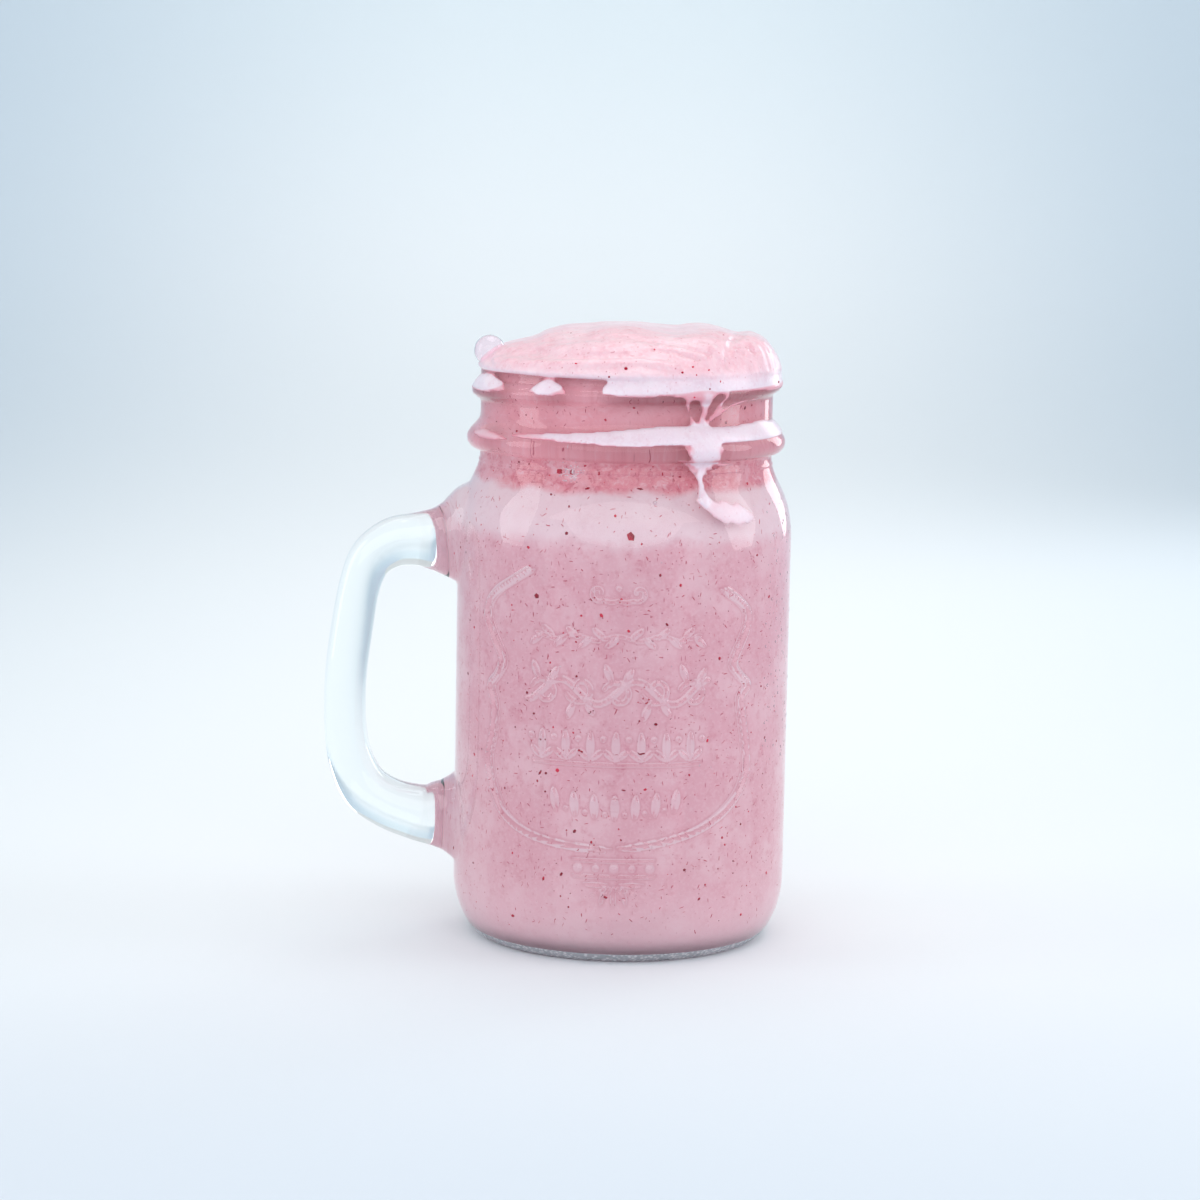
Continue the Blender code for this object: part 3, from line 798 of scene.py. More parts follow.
# %% [markdown]
# ## The heap over the rim, and where it ran
#
# The shake stands up over the rim like the foam on a poured drink. On the right it has crept over
# the edge, filled the groove over the thread, lies on the bead and has dripped down to the
# shoulder. Thick drink has no edges: each part flows into the next. So the heap is a ball pushed
# into shape, what ran down is a jacket round the glass with humps on it, the two are joined, and a
# voxel remesh melts them together.
#
# The heap's outline against the paper is a line of heights from left to right. Towards the front
# and the back it falls off to the rim, steeply on the right, where the drink has piled up.

# %% Heap shape
# Distance to the right of the axis and height of the heap's outline, in millimetres
HEAP_CREST = (
    (-33.9, 131.0), (-32.6, 132.6), (-30.0, 134.6), (-26.7, 135.9), (-21.3, 137.1), (-18.4, 138.5),
    (-14.1, 139.7), (-8.7, 140.2), (-4.4, 140.7), (1.0, 140.6), (6.0, 139.9), (11.0, 139.5),
    (14.0, 140.0), (17.4, 140.2), (20.8, 139.7), (24.8, 138.6), (27.8, 138.8), (30.7, 137.6),
    (32.7, 135.6), (34.2, 133.2), (35.0, 130.9),
)
DOME_EDGE = 130.9 * MM
DOME_LEFT_RADIUS = 33.9 * MM
DOME_RIGHT_RADIUS = 35.0 * MM
DOME_LEFT_POWER = 2.4
DOME_RIGHT_POWER = 5.0
DOME_TUCK = 2.2 * MM


def right_side(azimuth):
    """1 where the drink bulges over the right of the rim, 0 on the left, smooth between."""
    t = np.clip(0.5 + 0.75 * np.cos(np.radians(azimuth - 78.0)), 0.0, 1.0)
    return t * t * (3 - 2 * t)


def heap_height(azimuth, radius, edge):
    """The height of the heap over the place at this azimuth and radius."""
    crest_line = np.array(smooth_line(HEAP_CREST, 4)) * MM
    turn = np.radians(azimuth)
    sideways, forward = radius * np.sin(turn), radius * np.cos(turn)
    crest = np.interp(sideways, crest_line[:, 0], crest_line[:, 1])
    reach = np.sqrt(np.maximum(edge**2 - sideways**2, (0.5 * MM) ** 2))
    power = DOME_LEFT_POWER + (DOME_RIGHT_POWER - DOME_LEFT_POWER) * right_side(azimuth)
    fall = 1 - np.clip(np.abs(forward) / reach, 0.0, 1.0) ** power
    lumps = 0.35 * np.sin(260 * sideways + 140 * forward) + 0.25 * np.sin(410 * forward - 150 * sideways + 1)
    return DOME_EDGE + (crest - DOME_EDGE) * fall + lumps * MM * fall * (np.abs(forward) / reach)


bpy.ops.object.select_all(action="DESELECT")
bpy.ops.mesh.primitive_uv_sphere_add(segments=128, ring_count=96, radius=1.0, location=(AXIS_X, 0.0, 0.0))
shake_heap = bpy.context.object
shake_heap.name = shake_heap.data.name = "shake_heap"
bake_place(shake_heap)
azimuth, flat, height = cylinder_places(corners(shake_heap))
flat = np.clip(flat, 0.0, 1.0)
edge = DOME_LEFT_RADIUS + (DOME_RIGHT_RADIUS - DOME_LEFT_RADIUS) * right_side(azimuth)
above = height > -0.001
new_radius = edge * np.where(above, flat, flat**0.5)
sunk = DOME_EDGE - DOME_TUCK * np.clip(-height, 0.0, 1.0) ** 0.6
new_height = np.where(above, heap_height(azimuth, new_radius, edge), sunk)
move_corners(shake_heap, from_cylinder(azimuth, new_radius, new_height))
print("heap reaches", round(float(new_height.max()) / MM, 1), "mm")

# %% [markdown]
# ### What ran down
#
# Two kinds of run lie on the glass. A pool fills a groove up to a slanted line between its upper
# and its lower shore, and bulges a little. A film follows the glass at a thickness of its own. Each
# is a line of stations on the unrolled outside, and its edge is round, as a drop's is.

# %% Pools and films
# Azimuth in degrees, heights of the lower and of the upper shore, how far the upper shore stands
# off the glass, and how far the pool bulges, all in millimetres
POOLS = {
    "over_thread": (
        (-9.9, 127.2, 127.5, 0.0, 0.2), (-9.2, 126.5, 128.6, 0.0, 0.6), (-7.5, 126.2, 129.2, 0.1, 0.7),
        (-4, 126.1, 129.6, 0.2, 0.75), (3, 126.0, 129.8, 0.3, 0.7), (9, 126.1, 130.3, 0.4, 0.7),
        (15, 126.2, 131.3, 0.5, 0.6), (21, 125.9, 131.4, 0.6, 0.6), (26, 125.3, 131.4, 0.9, 0.5),
        (31, 125.3, 131.4, 1.0, 0.5), (35, 126.7, 131.4, 1.0, 0.4), (45, 127.1, 131.4, 1.1, 0.35),
        (66, 126.7, 131.4, 1.2, 0.25), (95, 126.8, 131.4, 1.2, 0.25), (114, 127.2, 131.2, 1.0, 0.25),
        (130, 128.4, 130.4, 0.3, 0.2),
    ),
    "left_blob": (
        (-39.5, 126.3, 126.7, 0.0, 0.2), (-37, 125.9, 128.2, 0.0, 0.5), (-34, 125.7, 129.1, 0.1, 0.8),
        (-30, 125.7, 129.2, 0.1, 0.8), (-26, 125.8, 128.4, 0.0, 0.6), (-22, 126.2, 126.8, 0.0, 0.3),
    ),
    "left_edge": (
        (-100, 126.0, 126.6, 0.0, 0.2), (-82, 125.2, 128.8, 0.0, 0.6), (-66, 125.3, 129.4, 0.1, 0.8),
        (-57, 125.5, 128.2, 0.0, 0.5), (-51, 126.0, 126.6, 0.0, 0.2),
    ),
    "on_bead": (
        (-47, 116.2, 116.8, 0.0, 0.15), (-40, 116.0, 117.4, 0.0, 0.2), (-31, 115.9, 117.8, 0.1, 0.3),
        (-20.8, 115.6, 118.1, 0.1, 0.4), (-10, 115.4, 118.5, 0.2, 0.5), (2.5, 115.2, 119.3, 0.2, 0.6),
        (12.5, 115.5, 119.9, 0.2, 0.65), (20, 115.7, 119.9, 0.2, 0.65), (35, 115.8, 119.5, 0.3, 0.7),
        (46, 115.8, 119.7, 0.2, 0.6), (60, 115.8, 120.2, 0.2, 0.5), (76, 116.0, 120.0, 0.2, 0.4),
        (90, 116.2, 119.2, 0.1, 0.4), (104, 116.6, 117.6, 0.0, 0.2),
    ),
    "on_bead_left": (
        (-76, 115.6, 116.2, 0.0, 0.1), (-66, 115.0, 117.4, 0.0, 0.4), (-56, 115.0, 116.8, 0.0, 0.3),
        (-47, 115.2, 115.8, 0.0, 0.1),
    ),
}
LEAST_FILM = 0.22
# Azimuth in degrees, height, half width and thickness in millimetres
FILMS = {
    "veil_left": (
        (22.5, 126.0, 1.1, 0.2), (23.5, 123.4, 0.5, 0.13), (25, 121.6, 0.5, 0.12), (26, 119.2, 0.9, 0.2),
    ),
    "veil_middle": (
        (30, 126.2, 2.0, 0.3), (31, 124.0, 1.2, 0.2), (30, 122.0, 0.9, 0.16), (30, 120.6, 1.1, 0.18),
        (30, 119.0, 2.2, 0.28),
    ),
    "veil_right": (
        (38, 126.6, 0.9, 0.2), (38, 124.4, 0.8, 0.14), (35, 122.2, 0.7, 0.13), (32, 120.4, 0.7, 0.14),
    ),
    "veil_across": (
        (62, 125.2, 0.3, 0.12), (50, 124.8, 0.5, 0.12), (42, 123.6, 0.5, 0.12), (36, 121.6, 0.5, 0.12),
    ),
    "over_bead": (
        (28, 117.5, 3.8, 0.4), (28.5, 115.2, 4.5, 0.42), (29.5, 113.2, 4.2, 0.34), (30.5, 112.0, 2.6, 0.2),
    ),
    "under_bead": (
        (18, 112.6, 0.25, 0.12), (27, 111.9, 0.5, 0.16), (38, 111.1, 0.5, 0.14), (46, 110.6, 0.25, 0.12),
    ),
    "trickle": (
        (28.6, 112.4, 0.8, 0.16), (28.4, 110.4, 0.7, 0.22), (28.8, 108.9, 1.0, 0.5), (28.4, 107.6, 0.6, 0.22),
        (28.8, 106.4, 1.0, 0.45), (28.8, 105.5, 0.6, 0.24), (28.6, 104.3, 1.7, 0.8), (29.2, 103.0, 0.8, 0.3),
        (30, 102.2, 0.9, 0.24),
    ),
    "leaf_on_shoulder": (
        (26, 103.6, 0.4, 0.15), (30, 102.4, 1.4, 0.2), (35, 101.2, 2.3, 0.22), (40, 100.6, 2.5, 0.24),
        (45, 100.0, 2.0, 0.3), (48.5, 99.4, 1.0, 0.26),
    ),
}
JACKET_OUTSIDE = 1.2 * MM
JACKET_INSIDE = 2.8 * MM
JACKET_TOP = 130.8 * MM
JACKET_BOTTOM = 96.0 * MM
JACKET_ROW = 0.33 * MM
JACKET_COLUMNS = 600

NECK_TOP = RIM_TOP - RIM_ROUNDING
glass_line = sorted((z, r) for r, z in upper_outside(0.0, 1.0))
glass_heights, glass_radii = np.array(glass_line).T


def glass_outside(azimuth, height):
    """The radius of the glass's outside, thread included."""
    plain = np.interp(height, glass_heights, glass_radii)
    on_thread = (height > BEAD_ROOT) & (height < THREAD_TOP)
    return plain + np.where(on_thread, thread_relief(azimuth, height), 0.0)


def pool_radius(azimuth, height, stations):
    """The radius of a pool's surface in millimetres, 0 where it isn't."""
    turns, *columns = zip(*stations)
    low, high, stand_off, bulge = [np.interp(azimuth, turns, column) for column in columns]
    low_shore = glass_outside(azimuth, low * MM) / MM
    high_shore = glass_outside(azimuth, np.minimum(high * MM, NECK_TOP)) / MM + stand_off
    share = (height / MM - low) / (high - low)
    inside = (share > 0) & (share < 1) & (azimuth > turns[0]) & (azimuth < turns[-1])
    round_off = np.sqrt(np.clip(1 - (2 * share - 1) ** 2, 0.0, 1.0))
    bridge = low_shore + (high_shore - low_shore) * share + bulge * round_off
    on_glass = glass_outside(azimuth, np.minimum(height, NECK_TOP)) / MM + LEAST_FILM * round_off
    return np.where(inside, np.maximum(bridge, on_glass), 0.0)


def film_radius(azimuth, height, stations):
    """The radius of a film's surface in millimetres, 0 where it isn't."""
    across, up = azimuth * MM_A_DEGREE, height / MM
    ragged = 1 + 0.16 * np.sin(1.9 * across + 2.3 * up) + 0.1 * np.sin(4.3 * across - 1.7 * up)
    glass = glass_outside(azimuth, height) / MM
    found = np.zeros(len(across))
    fine = smooth_line(stations, 4)
    for (a0, z0, w0, t0), (a1, z1, w1, t1) in zip(fine, fine[1:]):
        share, away = along_line(across, up, (a0 * MM_A_DEGREE, z0), (a1 * MM_A_DEGREE, z1))
        off = away / ((w0 + (w1 - w0) * share) * ragged)
        thick = (t0 + (t1 - t0) * share) * np.sqrt(np.clip(1 - off**3, 0.0, 1.0))
        found = np.maximum(found, np.where(off < 1, glass + thick, 0.0))
    return found


# %% Build the jacket and melt it into the heap
jacket_rows = round((JACKET_TOP - JACKET_BOTTOM) / JACKET_ROW)
jacket_heights = np.linspace(JACKET_TOP, JACKET_BOTTOM, jacket_rows)
jacket_radii = np.interp(np.minimum(jacket_heights, NECK_TOP), glass_heights, glass_radii)
jacket_profile = (
    [(r - JACKET_OUTSIDE, z) for r, z in zip(jacket_radii, jacket_heights)]
    + [(r - JACKET_INSIDE, z) for r, z in list(zip(jacket_radii, jacket_heights))[::-4]]
)
jacket_profile.append(jacket_profile[0])
jacket = turn_on_the_wheel("jacket", jacket_profile, ((360.0, JACKET_COLUMNS),))
azimuth, radius, height = cylinder_places(corners(jacket))
middle = np.interp(np.minimum(height, NECK_TOP), glass_heights, glass_radii)
outside = radius > middle - 0.5 * (JACKET_OUTSIDE + JACKET_INSIDE)
wet = np.zeros(len(azimuth))
for stations in POOLS.values():
    wet = np.maximum(wet, pool_radius(azimuth, height, stations))
for stations in FILMS.values():
    wet = np.maximum(wet, film_radius(azimuth, height, stations))
radius = np.where(outside, np.maximum(radius, wet * MM), radius)
move_corners(jacket, from_cylinder(azimuth, radius, height))
only(shake_heap)
jacket.select_set(True)
bpy.ops.object.join()
apply_modifier(shake_heap, "REMESH", mode="VOXEL", voxel_size=0.4 * MM, use_smooth_shade=True)
apply_modifier(shake_heap, "SMOOTH", factor=0.5, iterations=3)
print("heap and jacket melted together:", triangles(shake_heap), "triangles")

# %% [markdown]
# ### Folds and grooves
#
# The top isn't even: it has a fold along its front, two thin parallel grooves where something was
# drawn through it, and a rounded lobe with burst bubbles on the right. These strokes are given as
# they are seen, in pixels of the photograph, and push the surface that faces the camera in or out.

# %% Sculpt the top
# Points across and down in the photograph, half width in pixels, and height in millimetres
FOLDS = (
    (((497, 361), (540, 364), (590, 364), (640, 362), (676, 367)), 5.5, 0.45),
    (((500, 352), (560, 356), (620, 355), (668, 357)), 5.0, -0.30),
    (((520, 345), (560, 347), (610, 345), (650, 347)), 5.0, 0.20),
    (((655, 341), (680, 345), (711, 355)), 2.0, -0.42),
    (((654, 350), (676, 353), (699, 360)), 2.0, -0.42),
    (((660, 346), (682, 350), (704, 357)), 3.4, 0.25),
    (((744, 331), (733, 340), (727, 352), (730, 366)), 6.0, -0.55),
    (((735, 347), (741, 345), (747, 347)), 2.4, -0.50),
    (((738, 351), (744, 354)), 2.6, -0.45),
    (((752, 350), (758, 352)), 3.0, -0.45),
    (((764, 342), (770, 350)), 3.0, 0.30),
    (((690, 327), (705, 333), (725, 337), (742, 335)), 4.0, -0.40),
    (((620, 326), (650, 332), (690, 335)), 4.0, -0.25),
    (((700, 345), (715, 349), (722, 358)), 4.5, 0.30),
    (((560, 329), (572, 336), (600, 339)), 4.5, -0.22),
    (((515, 344), (530, 350), (548, 352)), 4.0, -0.28),
)


# Folds start above the first height, small lumps above the second, and nothing is pushed out over the limit
FOLDS_ABOVE = 130 * MM
LUMPS_ABOVE = 131
HEAP_LIMIT = 140.75 * MM
HEAP_LIMIT_FADE = 0.4 * MM


def seen_pixels(places):
    """Pixels across and down where the photograph shows these places."""
    to_camera = np.array(camera.matrix_world.inverted())
    local = places @ to_camera[:3, :3].T + to_camera[:3, 3]
    scale = FOCAL_PIXELS / -local[:, 2]
    return PHOTO_SIZE / 2 + local[:, 0] * scale, PHOTO_SIZE / 2 - local[:, 1] * scale


def corner_normals(piece):
    normals = np.empty(len(piece.data.vertices) * 3)
    piece.data.vertices.foreach_get("normal", normals)
    return normals.reshape(-1, 3)


places, normals = corners(shake_heap), corner_normals(shake_heap)
pixels_across, pixels_down = seen_pixels(places)
towards = np.array(CAMERA_PLACE) - places
facing = np.clip((normals * towards).sum(1) / np.linalg.norm(towards, axis=1) * 3, 0.0, 1.0)
facing *= places[:, 2] > FOLDS_ABOVE
push = np.zeros(len(places))
for line, half_width, lift in FOLDS:
    nearest = np.full(len(places), 1e9)
    for start, end in zip(line, line[1:]):
        nearest = np.minimum(nearest, along_line(pixels_across, pixels_down, start, end)[1])
    push += lift * hump(nearest, half_width)
x, y, z = (places * 1000).T  # in millimetres
push += 0.10 * np.sin(1.1 * x + 0.8 * y) * np.sin(0.9 * y - 0.6 * x + 2) * (z > LUMPS_ABOVE)
push += 0.05 * np.sin(2.7 * x - 1.9 * y + z) * np.sin(2.3 * y + 1.4 * x) * (z > LUMPS_ABOVE)
top_edge = np.clip((HEAP_LIMIT - places[:, 2]) / HEAP_LIMIT_FADE, 0.0, 1.0)
push = np.where(push > 0, push * top_edge, push)
move_corners(shake_heap, places + normals * (push * facing * MM)[:, None])
print("folds:", len(FOLDS), "strokes, deepest", round(float((push * facing).min()), 2), "mm")

# %% [markdown]
# The drink must not lie inside the glass. A solid with the glass's own outside, thread and all, is
# turned a tenth of a millimetre smaller, and cut from the heap. The drink then clings to the glass.
# How thick it lies there is kept as an attribute: a thin film lets the pink behind it through.

# %% Cut the glass out of the heap
CLING = 0.12 * MM
CUT_BOTTOM = 80.0 * MM
cut_profile = chain(
    [(0.0, RIM_TOP - CLING)],
    upper_outside(-CLING, 0.6),
    [(BODY_RADIUS - CLING, CUT_BOTTOM), (0.0, CUT_BOTTOM)],
)
glass_cutter = turn_on_the_wheel("glass_cutter", cut_profile, ((360.0, 240),))
press_thread(glass_cutter, NECK_INSIDE_RADIUS + RIM_ROUNDING)
apply_modifier(shake_heap, "BOOLEAN", operation="DIFFERENCE", solver="EXACT", object=glass_cutter)
bpy.data.objects.remove(glass_cutter, do_unlink=True)
only(shake_heap)
bpy.ops.object.shade_smooth_by_angle(angle=math.radians(60))
azimuth, radius, height = cylinder_places(corners(shake_heap))
depth = (radius - glass_outside(azimuth, np.minimum(height, NECK_TOP))) / MM
depth = np.where(height > RIM_TOP, 1.0, np.clip(depth, 0.0, 1.0))
shake_heap.data.attributes.new("depth", "FLOAT", "POINT").data.foreach_set("value", depth)
print("heap:", triangles(shake_heap), "triangles")

# %% [markdown]
# ## Materials
#
# Colours are given as the hex values that a colour picker shows and turned to linear light by one
# function. One helper adds a node, sets its values and links its inputs. A pattern is built up in
# layers, as a painter glazes: each lays a colour over what is there, where some value rises.


# %% Colour and node helpers
def linear(code):
    """An sRGB hex colour such as "#d4a8b8" as linear red, green, blue and 1."""
    parts = [int(code[k : k + 2], 16) / 255 for k in (1, 3, 5)]
    return (*[p / 12.92 if p <= 0.04045 else ((p + 0.055) / 1.055) ** 2.4 for p in parts], 1.0)


def add_node(tree, kind, settings=(), **inputs):
    """Adds a node. Inputs are values or the outputs to link, by name, with spaces as underscores."""
    made = tree.nodes.new(kind)
    for name, value in dict(settings).items():
        setattr(made, name, value)
    for name, value in inputs.items():
        key = int(name[1:]) if name[0] == "i" and name[1:].isdigit() else name.replace("_", " ")
        if isinstance(value, bpy.types.NodeSocket):
            tree.links.new(value, made.inputs[key])
        else:
            made.inputs[key].default_value = value
    return made


def new_material(name):
    """A material with its empty tree, its output and the places on the object that patterns read."""
    made = bpy.data.materials.new(name)
    made.use_nodes = True
    tree = made.node_tree
    tree.nodes.clear()
    out, places = [add_node(tree, kind) for kind in ("ShaderNodeOutputMaterial", "ShaderNodeTexCoord")]
    return made, tree, out, places.outputs["Object"]


def layer(tree, below, above, value=None, start=0.0, end=1.0, share=1.0):
    """One colour laid over another: not at all where value is at start, and by share at end."""
    if value is not None:
        share = add_node(
            tree, "ShaderNodeMapRange", {"interpolation_type": "SMOOTHSTEP"},
            Value=value, From_Min=start, From_Max=end, To_Max=share,
        ).outputs[0]
    return add_node(tree, "ShaderNodeMix", {"data_type": "RGBA"}, i0=share, i6=below, i7=above).outputs[2]


# %% [markdown]
# ### Clear soda-lime glass
#
# Pressed jars are soda-lime glass, IOR 1.52, fire-polished, so the surface is smooth but never
# quite flat: it undulates over about a centimetre, which makes reflections swim. A thick run of it
# is faintly blue-green. Lamps can't shine through refracting glass in a path tracer, so for shadow
# rays the glass is simply transparent, and the drink behind it is lit as it should be.


# %% Glass
def see_through(name, colours, roughness, ior, waves=None):
    """A clear material, and its tree and output. colours are its own and that of its shadow.

    waves are the size of its unevenness in metres, and the noise's detail, strength and height.
    """
    made, tree, out, place = new_material(name)
    own, cast = [linear(code) for code in colours]
    stuff = add_node(
        tree, "ShaderNodeBsdfPrincipled", Base_Color=own, Roughness=roughness, IOR=ior,
        Transmission_Weight=1.0,
    )
    if waves:
        size, detail, strength, tall = waves
        swim = add_node(tree, "ShaderNodeTexNoise", Vector=place, Scale=1 / size, Detail=detail).outputs[0]
        uneven = add_node(tree, "ShaderNodeBump", Height=swim, Strength=strength, Distance=tall)
        tree.links.new(uneven.outputs[0], stuff.inputs["Normal"])
    clear = add_node(tree, "ShaderNodeBsdfTransparent", Color=cast)
    shadow = add_node(tree, "ShaderNodeLightPath").outputs["Is Shadow Ray"]
    both = add_node(tree, "ShaderNodeMixShader", i0=shadow, i1=stuff.outputs[0], i2=clear.outputs[0])
    tree.links.new(both.outputs[0], out.inputs["Surface"])
    return made, tree, out


def soda_lime_glass():
    made, tree, out = see_through(
        "pressed_soda_lime_glass", ("#fcffff", "#f4fafb"), 0.04, GLASS_IOR, (9 * MM, 1.0, 0.6, 0.12 * MM)
    )
    tint = add_node(tree, "ShaderNodeVolumeAbsorption", Color=linear("#d4f0f2"), Density=5.0)
    tree.links.new(tint.outputs[0], out.inputs["Volume"])
    return made


# %% [markdown]
# ### Blended fruit shake
#
# A shake is milk with crushed berries: an opaque pale pink with darker clouds, a grain of foam too
# fine to see singly, pink flecks of pulp and short fibres of skin. The same pattern serves the
# filling and the heap. Behind glass the drink has no shine of its own, because glass and drink bend
# light almost alike. In air it is wet, so the heap gets gloss and some light under its surface.


# %% Shake
def shake_pattern(tree, place, colours, fleck_share):
    """The shake's colour with clouds, foam grain, flecks and fibres."""
    base, pale, deep, fleck, fibre = [linear(code) for code in colours]
    clouds, pulp, grain = [
        add_node(tree, "ShaderNodeTexNoise", Vector=place, Scale=1 / size, Detail=detail, Roughness=rough)
        for size, detail, rough in ((11 * MM, 3.0, 0.6), (2.6 * MM, 4.0, 0.65), (0.7 * MM, 2.0, 0.5))
    ]
    colour = layer(tree, base, pale, clouds.outputs[0], 0.42, 0.68, 0.75)
    colour = layer(tree, colour, deep, pulp.outputs[0], 0.5, 0.72, 0.55)
    colour = layer(tree, colour, pale, grain.outputs[0], 0.45, 0.7, 0.4)
    for cell, size, share in ((2.1 * MM, 0.075, 0.75), (1.3 * MM, 0.085, 0.5)):
        dots = add_node(tree, "ShaderNodeTexVoronoi", Vector=place, Scale=1 / cell).outputs["Distance"]
        colour = layer(tree, colour, fleck, dots, size * 1.5, size * 0.6, share * fleck_share)
    for turn, stretch in (((0.3, 0.9, 0.2), (0.28, 1.0, 1.0)), ((1.2, 0.2, 0.8), (1.0, 1.0, 0.25))):
        leant = add_node(tree, "ShaderNodeMapping", Vector=place, Rotation=turn, Scale=stretch).outputs[0]
        threads = add_node(tree, "ShaderNodeTexVoronoi", Vector=leant, Scale=1 / (1.7 * MM))
        colour = layer(tree, colour, fibre, threads.outputs["Distance"], 0.11, 0.05, 0.6 * fleck_share)
    return colour, grain.outputs[0]


# Heights between which the filling's colour changes, going up to the neck and down to the foot: a pale band
# of painted light at the shoulder, painted shade in the neck, and painted light higher in the neck and at the
# foot
SHOULDER_LIGHT_BAND = (94 * MM, 98 * MM)
NECK_SHADE_BAND = (105.2 * MM, 107.6 * MM)
UPPER_NECK_LIGHT_BAND = (113 * MM, 116 * MM)
FOOT_LIGHT_BAND = (26 * MM, 4 * MM)


def shake_behind_glass():
    """The filling: deeper pink in the neck as painted shade, lifted by painted light higher up, a pale band
    of painted light at the shoulder, pink below it, painted light towards the foot, and the ornament's
    painted light and shade.
    """
    made, tree, out, place = new_material("fruit_shake_behind_glass")
    high = add_node(tree, "ShaderNodeSeparateXYZ", Vector=place).outputs["Z"]
    wave = add_node(tree, "ShaderNodeTexNoise", Vector=place, Scale=1 / (8 * MM), Detail=3.0).outputs[0]
    high = add_node(
        tree, "ShaderNodeMath", {"operation": "MULTIPLY_ADD"}, i0=wave, i1=4 * MM, i2=high
    ).outputs[0]
    body, _ = shake_pattern(tree, place, ("#ebb3c0", "#f4ccd5", "#dd8fa1", "#b84462", "#c95872"), 1.0)
    # The neck's deeper pink is painted shade, under the heap and the bead
    neck, _ = shake_pattern(tree, place, ("#ec94a2", "#f4bac5", "#d86478", "#b02e48", "#bc4058"), 1.0)
    smear = add_node(
        tree, "ShaderNodeTexNoise", Vector=place, Scale=1 / (3.2 * MM), Detail=5.0, Roughness=0.7,
        Distortion=1.5,
    ).outputs[0]
    neck = layer(tree, neck, linear("#f6ccd6"), smear, 0.52, 0.66, 0.6)
    neck = layer(tree, neck, linear("#cc4c62"), smear, 0.46, 0.34, 0.5)
    # Higher in the neck the colour is lightened: painted light where the heap and the bead shade it
    upper = layer(tree, neck, linear("#ffb6c2"), share=0.6)
    neck = layer(tree, neck, upper, high, *UPPER_NECK_LIGHT_BAND)
    # A pale band of painted light on the shoulder, where light from above falls
    pale = layer(tree, body, linear("#fbe9ef"), share=0.6)
    colour = layer(tree, body, pale, high, *SHOULDER_LIGHT_BAND)
    colour = layer(tree, colour, neck, high, *NECK_SHADE_BAND)
    # Paler towards the foot: painted light where the heel's shade falls
    lit_foot = layer(tree, body, linear("#ffd4de"), share=0.75)
    colour = layer(tree, colour, lit_foot, high, *FOOT_LIGHT_BAND)
    robbed, gathered = [
        add_node(tree, "ShaderNodeAttribute", {"attribute_name": name}).outputs["Fac"]
        for name in ("robbed", "gathered")
    ]
    # Painted shade beside each raised stroke and painted light on the drink behind it, as the ornament's
    # lenses would bend the light
    colour = layer(tree, colour, linear("#d8899b"), robbed, 0.0, 0.7, 0.35)
    colour = layer(tree, colour, linear("#fdf0f6"), gathered, 0.25, 1.0, 0.5)
    drink = add_node(
        tree, "ShaderNodeBsdfPrincipled", Base_Color=colour, Roughness=0.9, Specular_IOR_Level=0.0,
    )
    tree.links.new(drink.outputs[0], out.inputs["Surface"])
    return made


# Heights between which what ran down outside changes into the heap, and the thin drink brightens
SETTLED_BAND = (128.5 * MM, 132.5 * MM)
THIN_BAND = (108 * MM, 112 * MM)


def shake_in_air():
    """The heap: foamy pink on top, paler where it settled outside, darker where it lies thin."""
    made, tree, out, place = new_material("fruit_shake_wet")
    high = add_node(tree, "ShaderNodeSeparateXYZ", Vector=place).outputs["Z"]
    depth = add_node(tree, "ShaderNodeAttribute", {"attribute_name": "depth"}).outputs["Fac"]
    colour, grain = shake_pattern(tree, place, ("#efc0ca", "#f6d6dd", "#e19aa8", "#b83c56", "#c85c70"), 0.9)
    settled, _ = shake_pattern(tree, place, ("#ecd6e0", "#f2e2ea", "#e4c2ce", "#c45c74", "#cf7288"), 0.5)
    colour = layer(tree, settled, colour, high, *SETTLED_BAND)
    thin = layer(tree, linear("#efc4ce"), linear("#e4919f"), high, *THIN_BAND)
    colour = layer(tree, thin, colour, depth, 0.05, 0.36)
    foam = add_node(tree, "ShaderNodeBump", Height=grain, Strength=0.3, Distance=0.12 * MM)
    drink = add_node(
        tree, "ShaderNodeBsdfPrincipled", Base_Color=colour, Roughness=0.32, Normal=foam.outputs[0],
        Subsurface_Weight=0.25, Subsurface_Scale=1.2 * MM, Coat_Weight=0.35, Coat_Roughness=0.12,
    )
    drink.inputs["Subsurface Radius"].default_value = (1.0, 0.5, 0.6)
    tree.links.new(drink.outputs[0], out.inputs["Surface"])
    return made


# %% Put the main materials on
def stippled_glass():
    """The ring that the jar stands on: the same glass with a rough, stippled skin, so it looks frosted, with
    grey speckles of painted shade at the edges of its dimples.
    """
    made, tree, out, place = new_material("stippled_soda_lime_glass")
    stipple = add_node(tree, "ShaderNodeTexVoronoi", Vector=place, Scale=1 / (0.9 * MM)).outputs["Distance"]
    dents = add_node(tree, "ShaderNodeBump", Height=stipple, Strength=0.6, Distance=0.3 * MM)
    # Greyer at the edges of each dimple: painted shade of the stipple's facets
    tone = layer(tree, linear("#f4f8fa"), linear("#b9c2c8"), stipple, 0.2, 0.6)
    glass = add_node(
        tree, "ShaderNodeBsdfPrincipled", Base_Color=tone, Roughness=0.3, IOR=GLASS_IOR,
        Transmission_Weight=0.45, Normal=dents.outputs[0],
    )
    tree.links.new(glass.outputs[0], out.inputs["Surface"])
    return made


def dress(piece, material, slot, *nodes):
    """Gives a piece its material and its body, and hides the solids that it stands for. The slot is not used.
    """
    piece.data.materials.clear()
    piece.data.materials.append(material)
    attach(piece, "root")
    if nodes:
        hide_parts(*nodes)


